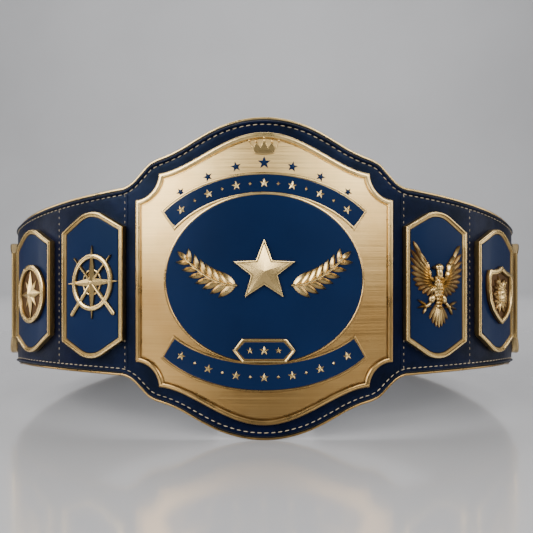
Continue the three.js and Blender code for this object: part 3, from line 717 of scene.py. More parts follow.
def leather_outline(inset):
    """The leather's edge drawn in evenly, with close points over the lobe and round the corners."""
    step = 0.5 * MM
    corner = TAIL_CORNER - inset
    flat_end = HALF_LENGTH - TAIL_CORNER
    places = [3 * MM * number for number in range(int((LOBE_REACH + 12 * MM) / (3 * MM)))]
    while places[-1] + 8 * MM < flat_end:
        places.append(places[-1] + 8 * MM)
    half = []
    for along in places:
        slope = (edge_height(along + step) - edge_height(along - step)) / (2 * step)
        lean = math.hypot(1, slope)
        half.append((along + inset * slope / lean, edge_height(along) - inset / lean))
    tail = edge_height(HALF_LENGTH) - TAIL_CORNER
    for turn in range(0, 91, 9):
        angle = math.radians(turn)
        half.append((flat_end + corner * math.sin(angle), tail + corner * math.cos(angle)))
    half[0] = (0, half[0][1])
    return mirrored_outline(half)


def main_edge(along, inset):
    """Height of the main plate's edge, drawn in by an inset."""
    far = abs(along)
    cusp = MAIN_WIDTH / 2 - CORNER_SCALLOP
    shoulder = SIDE_EDGE_HEIGHT / 2 + CORNER_SCALLOP
    rise = MAIN_HEIGHT / 2 - shoulder
    share = min(far / cusp, 1)
    wave = (1 + math.cos(math.pi * share)) / 2
    slope = rise * CROWN_FULLNESS * math.pi * math.sin(math.pi * share) / (2 * cusp)
    arch = shoulder + rise * wave ** CROWN_FULLNESS - inset * math.hypot(1, slope)
    reach = CORNER_SCALLOP + inset
    across = MAIN_WIDTH / 2 - far
    if across >= reach:
        return arch
    return min(arch, shoulder - math.sqrt(reach ** 2 - across ** 2))


def main_outline(inset=0):
    """The main plate's outline: arched above and below, with a scallop in each corner."""
    end = MAIN_WIDTH / 2 - inset
    bite = MAIN_WIDTH / 2 - CORNER_SCALLOP - inset
    places = [bite * number / 30 for number in range(31)]
    for turn in range(8, 90, 8):
        places.append(bite + (end - bite) * (1 - math.cos(math.radians(turn))))
    places.append(end)
    return mirrored_outline([(place, main_edge(place, inset)) for place in places])


def banner_drop(share):
    """How far a banner has bent away at that share of its half length, 1 at its end."""
    full = 1 - math.sqrt(1 - BANNER_BOW ** 2)
    return (1 - math.sqrt(1 - (share * BANNER_BOW) ** 2)) / full


def banner_outline(form, grow):
    """A banner bowed between its two edges, with slanting ends."""
    steps = 24
    inner = BANNER_WIDTH / 2 - abs(form["end_cut"]) * MM + grow
    outer = BANNER_WIDTH / 2 + grow
    low_reach, high_reach = (inner, outer) if form["end_cut"] > 0 else (outer, inner)
    low, high = [], []
    for number in range(-steps, steps + 1):
        share = number / steps
        drop = banner_drop(share)
        below = form["low"] + (form["end_low"] - form["low"]) * drop
        above = form["high"] + (form["end_high"] - form["high"]) * drop
        low.append((share * low_reach, below * MM - grow))
        high.append((share * high_reach, above * MM + grow))
    return low + high[::-1]


def side_edge(along, plate_height, inset):
    """Height of a side plate's edge: a round arch between two straight shoulders."""
    shoulder = plate_height / 2 - SHOULDER_RISE
    hub = plate_height / 2 - ARCH_RADIUS
    corner = Vector((SIDE_WIDTH / 2, shoulder - hub))
    touch = math.atan2(corner.y, corner.x) + math.acos(ARCH_RADIUS / corner.length)
    radius = ARCH_RADIUS - inset
    far = abs(along)
    if far < radius * math.cos(touch):
        return hub + math.sqrt(radius ** 2 - far ** 2)
    return hub + (radius - far * math.cos(touch)) / math.sin(touch)


def side_outline(plate_height, inset=0):
    """A side plate's outline round its own middle."""
    end = SIDE_WIDTH / 2 - inset
    places = [end * number / 40 for number in range(24)] + [end * share for share in (0.7, 0.85, 1)]
    return mirrored_outline([(place, side_edge(place, plate_height, inset)) for place in places])


def star_outline(points, radius, waist, stretch=1):
    """A star with its first point up."""
    outline = []
    for number in range(points * 2):
        turn = math.pi * number / points + math.pi / 2
        reach = radius if number % 2 == 0 else radius * waist
        outline.append((reach * math.cos(turn), reach * math.sin(turn) * stretch))
    return outline


def many(pattern, places, name):
    """One piece of many copies of the pattern, which is then taken away."""
    corners = [vertex.co.copy() for vertex in pattern.data.vertices]
    faces = [tuple(face.vertices) for face in pattern.data.polygons]
    all_corners, all_faces = [], []
    for matrix in places:
        first = len(all_corners)
        all_corners += [matrix @ corner for corner in corners]
        order = -1 if matrix.determinant() < 0 else 1
        all_faces += [tuple(first + corner for corner in face[::order]) for face in faces]
    mesh = bpy.data.meshes.new(name)
    mesh.from_pydata(all_corners, [], all_faces)
    piece = bpy.data.objects.new(name, mesh)
    bpy.context.scene.collection.objects.link(piece)
    remove(pattern)
    return piece


def tube(name, path, level, radius, sides=4, closed=True):
    """A round cord of metal or leather along a flat path, as a mesh."""
    curve = bpy.data.curves.new(name, "CURVE")
    curve.dimensions = "3D"
    curve.bevel_depth = radius
    curve.bevel_resolution = sides
    curve.use_fill_caps = not closed
    line = curve.splines.new("POLY")
    line.points.add(len(path) - 1)
    for point, place in zip(line.points, path):
        point.co = (place[0], place[1], level if len(place) < 3 else place[2], 1)
    line.use_cyclic_u = closed
    piece = bpy.data.objects.new(name, curve)
    bpy.context.scene.collection.objects.link(piece)
    choose(piece)
    bpy.ops.object.convert(target="MESH")
    return bpy.context.object


def evenly(path, pitch):
    """Places and turns at even distances along a closed flat path."""
    ring = [Vector(place) for place in path]
    ring.append(ring[0])
    total = sum((after - before).length for before, after in zip(ring, ring[1:]))
    pitch = total / round(total / pitch)
    marks, wait = [], pitch / 2
    for before, after in zip(ring, ring[1:]):
        side = after - before
        while side.length > 0 and wait <= side.length:
            place = before + side * (wait / side.length)
            marks.append((place.x, place.y, math.atan2(side.y, side.x)))
            wait += pitch
        wait -= side.length
    return marks


# The rolled border as shares of its width inwards and of its rise upwards
BORDER_PROFILE = (
    (0.07, 0.60), (0.13, 0.62), (0.19, 0.40), (0.21, 0.12),
    (0.19, -0.18), (0.13, -0.45), (0.08, -0.62),
)
BORDER_WALL = 1.7 * MM
# Steps in mm inwards and upwards, of the thread groove and of the lining's edge
GROOVE_DEPTH = 0.35 * MM
GROOVE_STEPS = ((0.9, 0), (0.5, 0.25), (2.2, 0.1))
LINING_STEPS = ((0.3, 0.45), (0.5, 0.3), (0.9, 0.15), (3.6, 0), (0.6, -0.25), (0.6, 0.25))
PIPING_PROUD = 3.3 * MM
STITCH_INSET = 6.6 * MM
SEAM_PLACE = 116.3 * MM
COLUMN_PLACE = 187.5 * MM
STRIP = 5 * MM


class BELT_OT_leather(bpy.types.Operator):
    """Front leather with its rolled border, the groove for the thread and the panel seams"""

    bl_idname = "belt.leather"
    bl_label = "Front leather"

    def execute(self, context):
        width, rise = sizes().border_width - PIPING_PROUD, sizes().border_rise
        piece = flat_face("front_leather", leather_outline(PIPING_PROUD), -LEATHER)
        steps = [(inwards * width, up * rise) for inwards, up in BORDER_PROFILE]
        level = -LEATHER + BORDER_WALL + sum(up for inwards, up in steps)
        steps.append((0.35 * MM, -GROOVE_DEPTH - level))
        pull_up(piece, BORDER_WALL, steps + rim_steps(GROOVE_STEPS, MM, MM))
        cut_strips(piece, STRIP)
        seams = []
        for side in (-1, 1):
            reach = edge_height(SEAM_PLACE) - STITCH_INSET - 1 * MM
            middle = side * (SEAM_PLACE - 2.2 * MM)
            corners = ((-0.8, -1), (0.8, -1), (0.8, 1), (-0.8, 1))
            outline = [(middle + x * MM, y * reach) for x, y in corners]
            seam = flat_face("seam", outline, -0.3 * MM)
            seams.append(pull_up(seam, 0.4 * MM, ((0.25 * MM, 0.18 * MM), (0.25 * MM, 0.08 * MM))))
        piece = joined([piece] + seams, "front_leather")
        wrap(piece)
        finish_piece(piece, finish("leather"), ("strap_front",), 40)
        return {"FINISHED"}


class BELT_OT_lining(bpy.types.Operator):
    """Black back leather with a softly rounded edge"""

    bl_idname = "belt.lining"
    bl_label = "Back leather"

    def execute(self, context):
        piece = flat_face("back_leather", leather_outline(1.2 * MM), BACK_FACE)
        pull_up(piece, -1.5 * MM, rim_steps(LINING_STEPS, MM, MM))
        close_up(piece)
        cut_strips(piece, STRIP)
        wrap(piece)
        finish_piece(piece, finish("lining"), ("strap_back",), 40)
        return {"FINISHED"}


class BELT_OT_piping(bpy.types.Operator):
    """Layers of the edge: a gold cord and a black one inside it. The black cord is partly the black edge of the
    leather and partly painted shade for the gap between the navy leather and the gold
    """

    bl_idname = "belt.piping"
    bl_label = "Edge piping"

    def execute(self, context):
        gold = tube("gold_edge", leather_outline(1.3 * MM), -3.1 * MM, 1.25 * MM)
        wrap(gold)
        finish_piece(gold, finish("polished"), ("gold_piping",), 60, False)
        # Black cord: partly black leather edge, partly painted shade in the gap under the rolled border
        black = tube("black_edge", leather_outline(3 * MM), -1.75 * MM, 0.85 * MM, 3)
        wrap(black)
        finish_piece(black, finish("lining"), (), 60, False)
        return {"FINISHED"}


class BELT_OT_stitches(bpy.types.Operator):
    """Waxed thread round the edge, down the panel seams and on the back"""

    bl_idname = "belt.stitches"
    bl_label = "Stitches"

    def execute(self, context):
        length, pitch, thick = sizes().stitch_length, sizes().stitch_pitch, sizes().thread
        deselect()
        bpy.ops.mesh.primitive_uv_sphere_add(segments=6, ring_count=6, radius=0.5)
        stitch = bpy.context.object
        stitch.data.transform(Matrix.Rotation(math.pi / 2, 4, "Y"))
        for vertex in stitch.data.vertices:
            full = math.copysign(abs(vertex.co.x * 2) ** 0.6, vertex.co.x) / 2
            vertex.co = (full * length, vertex.co.y * thick, vertex.co.z * thick)
        marks = [(x, y, turn, -0.22 * MM, 1) for x, y, turn in evenly(leather_outline(STITCH_INSET), pitch)]
        for side in (-1, 1):
            for place in (SEAM_PLACE, COLUMN_PLACE):
                reach = edge_height(place) - STITCH_INSET - 2 * MM
                rows = round(2 * reach / pitch)
                for row in range(rows + 1):
                    marks.append((side * place, -reach + 2 * reach * row / rows, math.pi / 2, 0.05 * MM, 0.62))
        places = [spot(x, y, level, turn + 0.06, size) for x, y, turn, level, size in marks]
        back = [spot(x, y, BACK_FACE - LEATHER - 0.05 * MM, turn) for x, y, turn, level, size in marks]
        piece = many(stitch, places + back, "stitches")
        wrap(piece)
        finish_piece(piece, finish("thread"), (), 60, False)
        return {"FINISHED"}


# Rims as shares of their width inwards and of their rise upwards
MAIN_RIM_PROFILE = (
    (0.07, 0.55), (0.11, 0.35), (0.17, 0.18), (0.20, 0),
    (0.17, -0.14), (0.13, -0.42), (0.08, -0.72),
)
SIDE_RIM_PROFILE = (
    (0.05, 0.45), (0.07, 0.30), (0.08, 0.20), (0.16, 0.05), (0.10, -0.06), (0.05, -0.22),
    (0.04, -0.42), (0.14, -0.02), (0.05, -0.20), (0.16, 0), (0.05, -0.30),
)
# Steps of the cartouche's frame in mm inwards and upwards
CARTOUCHE_STEPS = (
    (0.3, 0.35), (0.4, 0.15), (0.5, 0), (0.4, -0.3), (0.25, -0.9),
    (0.3, 0), (0.2, 0.35), (0.25, 0), (0.2, -0.35),
)
TRIM_PROFILE = ((0.2, 0.65), (0.2, 0.3), (0.25, 0.05), (0.2, -0.35), (0.15, -0.65))
ENAMEL_EDGE = ((0.25 * MM, 0.14 * MM), (0.5 * MM, 0.06 * MM))


def rim_steps(profile, width, rise):
    """A rim's profile at its real width and rise."""
    return [(inwards * width, up * rise) for inwards, up in profile]


def keep_face(piece, rim_finish):
    """The last selected face stays in the first finish and all the rest takes the second."""
    piece.data.materials.append(None)
    piece.data.materials.append(rim_finish)
    for face in piece.data.polygons:
        face.material_index = 0 if face.select else 1


def finish_two(piece, face_finish, nodes):
    """Finishes a plate whose face and rim differ."""
    rim_finish = piece.data.materials[1]
    indices = [face.material_index for face in piece.data.polygons]
    finish_piece(piece, face_finish, nodes)
    piece.data.materials.append(rim_finish)
    for face, index in zip(piece.data.polygons, indices):
        face.material_index = index
    return piece


def trim_ring(name, outline, level, rise):
    """A raised line of metal round a field, with a floor inside it for the enamel."""
    field = flat_face(name, outline, MAIN_FACE - 0.3 * MM)
    steps = rim_steps(TRIM_PROFILE, sizes().trim, rise)
    return pull_up(field, level - MAIN_FACE + 0.3 * MM, steps)


class BELT_OT_main_plate(bpy.types.Operator):
    """Big plate with its rounded rim, brushed face and trims for the enamel"""

    bl_idname = "belt.main_plate"
    bl_label = "Main plate"

    def execute(self, context):
        plate = flat_face("main_plate", main_outline(), GAP)
        wall = MAIN_FACE - 0.35 * MM
        steps = rim_steps(MAIN_RIM_PROFILE, sizes().rim_width, 1.7 * MM)
        floor = wall + GAP + sum(up for inwards, up in steps)
        steps += [(0.5 * MM, 0), (0.4 * MM, MAIN_FACE - floor)]
        pull_up(plate, wall, steps)
        keep_face(plate, finish("polished"))
        cut_strips(plate, STRIP)
        wrap(plate)
        finish_two(plate, finish("brushed"), ("main_plate",))

        trim = sizes().trim
        oval = ellipse(OVAL[0] + trim, OVAL[1] + trim, OVAL_SIDES)
        trims = [trim_ring("oval_trim", oval, MAIN_FACE + 0.1 * MM, 0.7 * MM)]
        for form in (UPPER_BANNER, LOWER_BANNER):
            outline = banner_outline(form, trim * 0.6)
            trims.append(trim_ring("banner_trim", outline, MAIN_FACE + 0.45 * MM, 0.6 * MM))
        trim = joined(trims, "enamel_trims")
        cut_strips(trim, STRIP)
        note_rise(trim, MAIN_FACE - 1 * MM, MAIN_FACE + 0.7 * MM)
        wrap(trim)
        finish_piece(trim, finish("polished"))
        return {"FINISHED"}


class BELT_OT_crown(bpy.types.Operator):
    """Small crown at the head of the main plate"""

    bl_idname = "belt.crown"
    bl_label = "Crown"

    def execute(self, context):
        spikes = ((-11.5, 4.2), (-6.2, 3.6), (0, 6.4), (6.2, 3.6), (11.5, 4.2))
        outline = [(-7.6, -5.2), (7.6, -5.2)]
        for number, (x, y) in enumerate(spikes[::-1]):
            outline.append((x, y - 0.8))
            if number < 4:
                valley = (spikes[::-1][number][0] + spikes[::-1][number + 1][0]) / 2
                outline.append((valley * 0.92, -1.4))
        crown = flat_face("crown", [(x * MM, (y + 104) * MM) for x, y in outline], MAIN_FACE - 0.2 * MM)
        parts = [pull_up(crown, 0.9 * MM, ((0.25 * MM, 0.2 * MM), (0.25 * MM, 0.08 * MM)))]
        base = flat_face("band", moved(ellipse(8 * MM, 1.3 * MM, 32), 0, 98.9 * MM), MAIN_FACE - 0.2 * MM)
        parts.append(pull_up(base, 1.2 * MM, ((0.3 * MM, 0.25 * MM), (0.3 * MM, 0.1 * MM))))
        deselect()
        bpy.ops.mesh.primitive_uv_sphere_add(segments=12, ring_count=8, radius=1.05 * MM)
        beads = [spot(x * MM, (y + 104) * MM, MAIN_FACE + 0.6 * MM) for x, y in spikes]
        parts.append(many(bpy.context.object, beads, "beads"))
        piece = joined(parts, "crown")
        note_rise(piece, MAIN_FACE - 0.8 * MM, MAIN_FACE + 0.6 * MM)
        wrap(piece)
        finish_piece(piece, finish("cast"))
        return {"FINISHED"}


def enamel_field(name, outline, low, high, node):
    """A field of navy enamel with a rounded edge, in the place of that node."""
    field = flat_face(name, outline, low)
    pull_up(field, high - low - 0.2 * MM, ENAMEL_EDGE)
    cut_strips(field, STRIP)
    wrap(field)
    return finish_piece(field, finish("enamel"), (node,))


class BELT_OT_main_enamel(bpy.types.Operator):
    """Navy enamel of the oval and the two banners"""

    bl_idname = "belt.main_enamel"
    bl_label = "Main enamel"

    def execute(self, context):
        trim = sizes().trim
        low, high = MAIN_FACE + 0.2 * MM, MAIN_FACE + 0.5 * MM
        enamel_field("oval_field", ellipse(*OVAL, OVAL_SIDES), low, high, "oval_enamel")
        low, high = MAIN_FACE + 0.4 * MM, MAIN_FACE + 0.85 * MM
        for form, node in ((UPPER_BANNER, "upper_banner_enamel"), (LOWER_BANNER, "lower_banner_enamel")):
            outline = banner_outline(form, -trim * 0.4)
            enamel_field(node.replace("enamel", "field"), outline, low, high, node)
        return {"FINISHED"}


def hexagon(half_width, half_height, point):
    """The cartouche's outline, pointed at both ends."""
    corners = ((-half_width, 0), (point - half_width, -half_height), (half_width - point, -half_height))
    corners += ((half_width, 0), (half_width - point, half_height), (point - half_width, half_height))
    return moved(corners, 0, CARTOUCHE_MIDDLE)


class BELT_OT_cartouche(bpy.types.Operator):
    """Pointed frame over the lower banner with its own dark field"""

    bl_idname = "belt.cartouche"
    bl_label = "Cartouche"

    def execute(self, context):
        low = MAIN_FACE + 0.3 * MM
        shape = flat_face("cartouche", hexagon(*CARTOUCHE, CARTOUCHE_POINT), low)
        pull_up(shape, 2.6 * MM, rim_steps(CARTOUCHE_STEPS, MM, MM))
        cut_strips(shape, STRIP)
        note_rise(shape, low + 0.9 * MM, low + 2.7 * MM)
        wrap(shape)
        finish_piece(shape, finish("cast"), ("cartouche_frame",))
        inset = 2.7 * MM
        outline = hexagon(CARTOUCHE[0] - inset * 1.15, CARTOUCHE[1] - inset, CARTOUCHE_POINT - inset * 0.4)
        floor, top = low + 2 * MM, low + 2.35 * MM
        enamel_field("cartouche_field", outline, floor, top, "cartouche_enamel")
        return {"FINISHED"}


SIDE_NAMES = ("first", "second", "third")


class BELT_OT_side_plates(bpy.types.Operator):
    """Six arched side plates with stepped rims and their enamel"""

    bl_idname = "belt.side_plates"
    bl_label = "Side plates"

    def execute(self, context):
        rim = sizes().side_rim
        for side, side_name in ((-1, "left"), (1, "right")):
            for number, name in enumerate(SIDE_NAMES):
                height = FIRST_HEIGHT if number == 0 else OUTER_HEIGHT
                middle = side * (FIRST_SIDE + SIDE_SPACING * number)
                drop = -1.3 * MM
                plate = flat_face("side_plate", moved(side_outline(height), middle, drop), GAP)
                wall = SIDE_TOP - 1.8 * MM - GAP
                steps = rim_steps(SIDE_RIM_PROFILE, rim, 1.8 * MM)
                steps.append((0.3 * MM, SIDE_FLOOR - (wall + GAP + sum(up for inwards, up in steps))))
                pull_up(plate, wall, steps)
                cut_strips(plate, STRIP)
                # Patina and painted shade: the cast finish browns the grooves and the lower walls, and the foot
                # keeps the wall's bottom ring light
                note_rise(plate, SIDE_TOP - 4 * MM, SIDE_TOP - 0.1 * MM, 0.85)
                wrap(plate)
                plate.name = name + "_frame_" + side_name
                finish_piece(plate, finish("cast"), (name + "_plate_" + side_name,))
                outline = moved(side_outline(height, rim + 0.3 * MM), middle, drop)
                field, node = name + "_field_" + side_name, name + "_enamel_" + side_name
                enamel_field(field, outline, SIDE_FLOOR + 0.1 * MM, SIDE_ENAMEL_TOP, node)
        return {"FINISHED"}


CENTRE_LEVEL = MAIN_FACE + 0.5 * MM
RELIEF = 3 * MM
EMBLEM_LEVEL = 5.2 * MM
WHEEL_PLACE = (-144.1 * MM, 0.9 * MM)
COMPASS_PLACE = (-220 * MM, -4.3 * MM)
EAGLE_PLACE = (145.3 * MM, 0)
EAGLE_STRETCH = 0.965
SHIELD_PLACE = (224 * MM, -5 * MM)
LION_PLACE = (224 * MM, -4.4 * MM)
# Steps of the compass's ring and the shield's rim in mm inwards and upwards
COMPASS_STEPS = (
    (0.4, 0.35), (0.7, 0.25), (1.5, 0.05), (0.7, -0.2), (0.3, -0.5), (0.8, 0), (0.3, -1.9),
)
SHIELD_STEPS = (
    (0.4, 0.35), (0.6, 0.25), (1.3, 0), (0.6, -0.25), (0.3, -0.45), (0.5, 0), (0.3, -2.2),
)
# The small stars in mm: half their reach along the banners, and the arch over them
STAR_REACH = 75
STAR_ARCH = {"half": 66, "top": 91, "drop": 21.5}


def walled(piece):
    """Gives a relief surface walls down to its own zero level and a flat back."""
    choose(piece)
    bpy.ops.object.mode_set(mode="EDIT")
    bpy.ops.mesh.select_all(action="SELECT")
    bpy.ops.mesh.region_to_loop()
    bpy.ops.mesh.extrude_edges_move()
    bpy.ops.object.mode_set(mode="OBJECT")
    for vertex in piece.data.vertices:
        if vertex.select:
            vertex.co.z = 0
    bpy.ops.object.mode_set(mode="EDIT")
    bpy.ops.mesh.edge_face_add()
    bpy.ops.object.mode_set(mode="OBJECT")
    return close_up(piece)


def leaf(name, length, width, thick, rows=8, bend=0.0, blunt=False):
    """A leaf from its foot along x: ridged, hollowed each side and pointed, or blunt as a feather."""
    deselect()
    bpy.ops.mesh.primitive_grid_add(x_subdivisions=rows, y_subdivisions=4, size=1)
    piece = bpy.context.object
    piece.name = name
    for vertex in piece.data.vertices:
        share, side = vertex.co.x + 0.5, vertex.co.y * 2
        belly = math.sin(math.pi * min(1, share * 0.92 + 0.08) ** 0.8) ** 0.75
        if blunt:
            belly = min(1, 0.5 + 0.9 * share) * math.sqrt(max(0.004, 1 - share ** 7))
        ridge = 1 - abs(side) ** 0.8
        rise = thick * (0.25 + 0.75 * ridge) * (0.35 + 0.65 * math.sin(math.pi * (share * 0.85 + 0.1)))
        bow = bend * length * share ** 2
        vertex.co = (length * share, side * width / 2 * belly + bow, rise)
    return walled(piece)


def rod(name, start, end, level, width, rise, taper=1.0, tip=0.0):
    """A ridged bar from one flat place to another, narrower at its far end by the taper."""
    start, end = Vector(start), Vector(end)
    side = end - start
    across = Vector((-side.y, side.x)).normalized() * width / 2
    far = across * taper
    outline = [start - across, end - far, end + far, start + across]
    if tip:
        outline.insert(2, end + side.normalized() * tip)
    bar = flat_face(name, outline, level)
    inwards = width * min(taper, 1) * 0.24
    return pull_up(bar, rise * 0.55, ((inwards, rise * 0.33), (inwards * 0.8, rise * 0.12)))


def faceted_star(name, outline, level, wall, peak):
    """A star with a low wall and facets that rise to its middle."""
    piece = flat_face(name, outline, level)
    pull_up(piece, wall)
    return point_up(piece, peak)


def oval_ring(name, half_width, half_height, wall, level, rise, sides=64, round_steps=6):
    """A half round ring of metal."""
    profile = []
    for number in range(round_steps + 1):
        turn = math.pi * number / round_steps
        profile.append((-math.cos(turn) * wall / 2, math.sin(turn) ** 0.8 * rise * 0.6 + rise * 0.4))
    profile = [(-wall / 2, 0)] + profile + [(wall / 2, 0)]
    corners, faces = [], []
    for place in range(sides):
        turn = 2 * math.pi * place / sides
        for out, up in profile:
            corners.append((
                (half_width - wall / 2 + out) * math.cos(turn),
                (half_height - wall / 2 + out) * math.sin(turn), level + up,
            ))
    count = len(profile)
    for place in range(sides):
        after = (place + 1) % sides
        for row in range(count):
            other = (row + 1) % count
            here, there = place * count, after * count
            faces.append((here + row, here + other, there + other, there + row))
    mesh = bpy.data.meshes.new(name)
    mesh.from_pydata(corners, [], faces)
    piece = bpy.data.objects.new(name, mesh)
    bpy.context.scene.collection.objects.link(piece)
    return close_up(piece)


def shift_all(piece, x, y):
    """Moves a flat piece to its place on the belt."""
    piece.data.transform(Matrix.Translation((x, y, 0)))
    return piece


def finish_relief(parts, name, node, low, high, angle=40, finish_name="cast"):
    """Joins a relief's parts, keeps their height for the finish, and seats them on the belt."""
    piece = joined(parts, name)
    note_rise(piece, low, high)
    wrap(piece)
    nodes = (node,) if node else ()
    return finish_piece(piece, finish(finish_name), nodes, angle, False)


class BELT_OT_centre(bpy.types.Operator):
    """Raised star in the middle of the oval with a laurel spray on each side"""

    bl_idname = "belt.centre"
    bl_label = "Star and laurels"

    def execute(self, context):
        low = CENTRE_LEVEL
        outer = flat_face("star_step", moved(star_outline(5, 25 * MM, 0.42), 0, 6 * MM), low)
        pull_up(outer, RELIEF * 0.75, ((0.5 * MM, 0.35 * MM), (0.5 * MM, 0.1 * MM)))
        inner = moved(star_outline(5, 21 * MM, 0.40), 0, 6 * MM)
        star = faceted_star("star", inner, low + RELIEF * 0.6, RELIEF * 0.35, RELIEF * 0.75)
        finish_relief([outer, star], "centre_star_relief", "centre_star", low - 1 * MM, low + RELIEF * 0.9, 25)
        for side, node in ((1, "laurel_right"), (-1, "laurel_left")):
            bow, reach, start = 11 * MM, 41 * MM, 21 * MM
            height = lambda share: 6 * MM - bow + 2 * bow * share ** 2
            steps = 20
            path = [(side * (start + reach * step / steps), height(step / steps), low + 0.9 * MM)
                    for step in range(steps + 1)]
            stem = tube("stem", path, 0, 1.0 * MM, 4, False)
            places = []
            for number in range(7):
                share = (number + 0.4) / 7
                lean = math.atan(4 * bow * share / reach)
                size = 1 - 0.32 * share
                for turn in (-0.72, 0.72):
                    angle = lean + turn
                    place = spot(side * (start + reach * share), height(share), low, 0, 1)
                    flip = Matrix.Diagonal((side, 1, 1, 1))
                    turned = place @ flip @ Matrix.Rotation(angle, 4, "Z")
                    places.append(turned @ Matrix.Diagonal((size, size, 1, 1)))
            tip = spot(side * (start + reach * 0.98), height(0.98), low)
            places.append(tip @ Matrix.Diagonal((side, 1, 1, 1)) @ Matrix.Rotation(0.75, 4, "Z")
                          @ Matrix.Diagonal((0.6, 0.75, 1, 1)))
            leaves = many(leaf("leaf", 16 * MM, 5.6 * MM, 2.4 * MM), places, "leaves")
            finish_relief([stem, leaves], node + "_relief", node, low - 0.8 * MM, low + 2 * MM)
        return {"FINISHED"}


class BELT_OT_small_stars(bpy.types.Operator):
    """Plain small stars and lozenges along the arch, the banners and the cartouche"""

    bl_idname = "belt.small_stars"
    bl_label = "Small stars"

    def execute(self, context):
        pattern = faceted_star("small_star", star_outline(5, 1, 0.42), 0, 0.10, 0.28)
        lozenge = faceted_star("lozenge", star_outline(2, 1, 0.5, 0.62), 0, 0.10, 0.3)
        stars, lozenges = [], []
        for form in (UPPER_BANNER, LOWER_BANNER):
            middle = (form["low"] + form["high"]) / 2
            end = (form["end_low"] + form["end_high"]) / 2
            for number in range(-6, 7):
                share = number / 6.9
                y = (middle + (end - middle) * banner_drop(share)) * MM
                x = share * STAR_REACH * MM
                slope = math.atan2((end - middle) * share * 1.5, STAR_REACH * 1.1)
                size = 3.6 * MM if number % 2 == 0 else 2.2 * MM
                mark = spot(x, y, MAIN_FACE + 0.84 * MM, slope, (size, size, 3 * MM))
                (stars if number % 2 == 0 else lozenges).append(mark)
        for x in (-11, 0, 11):
            size = 3.7 * MM if x == 0 else 2.6 * MM
            stars.append(spot(x * MM, CARTOUCHE_MIDDLE, MAIN_FACE + 2.65 * MM, 0, (size, size, 3 * MM)))
        parts = [many(pattern, stars, "stars"), many(lozenge, lozenges, "lozenges")]
        finish_relief(parts, "gold_stars", None, MAIN_FACE - 1 * MM, MAIN_FACE + 1.4 * MM, 20)
        pattern = faceted_star("arch_star", star_outline(5, 1, 0.42), 0, 0.10, 0.2)
        marks = []
        for number in range(-3, 4):
            share = number / 3
            turn = -share * 0.62
            size = (5.2 if number == 0 else 4.6 - 0.3 * abs(number)) * MM
            x = share * STAR_ARCH["half"] * MM
            y = (STAR_ARCH["top"] - STAR_ARCH["drop"] * abs(share) ** 1.8) * MM
            marks.append(spot(x, y, MAIN_FACE - 0.05 * MM, turn, (size, size, 2 * MM)))
        navy = many(pattern, marks, "arch_stars")
        wrap(navy)
        finish_piece(navy, finish("enamel"), (), 20, False)
        return {"FINISHED"}


def ball(name, x, y, level, radii, turn=0.0, segments=20, rings=12):
    """A rounded body pressed into the relief, cut off flat at the emblem's level."""
    deselect()
    bpy.ops.mesh.primitive_uv_sphere_add(segments=segments, ring_count=rings, radius=1)
    piece = bpy.context.object
    piece.name = name
    piece.data.transform(Matrix.Diagonal((*radii, 1)))
    piece.data.transform(Matrix.Rotation(turn, 4, "Z"))
    piece.data.transform(Matrix.Translation((x, y, level)))
    for vertex in piece.data.vertices:
        vertex.co.z = max(vertex.co.z, EMBLEM_LEVEL)
    return close_up(piece)


def aimed(start, end, level, width=1.0, thick=1.0, flip=1):
    """A matrix that lays a leaf of unit length from one flat place to another."""
    start, end = Vector(start) * MM, Vector(end) * MM
    side = end - start
    turn = math.atan2(side.y, side.x)
    place = Matrix.Translation((start.x, start.y, level)) @ Matrix.Rotation(turn, 4, "Z")
    return place @ Matrix.Diagonal((side.length, width * MM * flip, thick * MM, 1))


class BELT_OT_wheel(bpy.types.Operator):
    """Ship's wheel over a long compass star, on the first plate to the left"""

    bl_idname = "belt.wheel"
    bl_label = "Wheel emblem"

    def execute(self, context):
        low = EMBLEM_LEVEL
        parts = [oval_ring("ring", 20.3 * MM, 23.7 * MM, 4 * MM, low, 2.6 * MM)]
        parts.append(oval_ring("inner_ring", 9.4 * MM, 11 * MM, 1.3 * MM, low, 1.4 * MM, 48, 4))
        for side in (-1, 1):
            handle = (side * 21 * MM, -26.5 * MM)
            tip = (-side * 17.6 * MM, 20.6 * MM)
            parts.append(rod("spoke", (0, 0), handle, low, 3.0 * MM, 2.7 * MM, 1.18, 1.1 * MM))
            parts.append(rod("spoke", (0, 0), tip, low, 3.0 * MM, 2.4 * MM, 0.34, 1.6 * MM))
            parts.append(rod("spoke_low", (0, 0), (side * 14 * MM, 16 * MM), low, 2.2 * MM, 1.6 * MM, 0.6))
        outline = []
        for number in range(8):
            turn = math.pi * number / 4 + math.pi / 2
            reach = 4.6 if number % 2 else (30.6 if number % 4 == 0 else 25.4)
            outline.append((reach * math.cos(turn) * MM, reach * math.sin(turn) * MM))
        parts.append(faceted_star("long_star", outline, low, 1.5 * MM, 2.4 * MM))
        parts.append(ball("hub", 0, 0, low + 2.2 * MM, (2.3 * MM, 2.3 * MM, 1.9 * MM), 0, 16, 8))
        for part in parts:
            shift_all(part, *WHEEL_PLACE)
        finish_relief(parts, "wheel_relief", "wheel_emblem", low - 1.6 * MM, low + 2.2 * MM, 30)
        return {"FINISHED"}


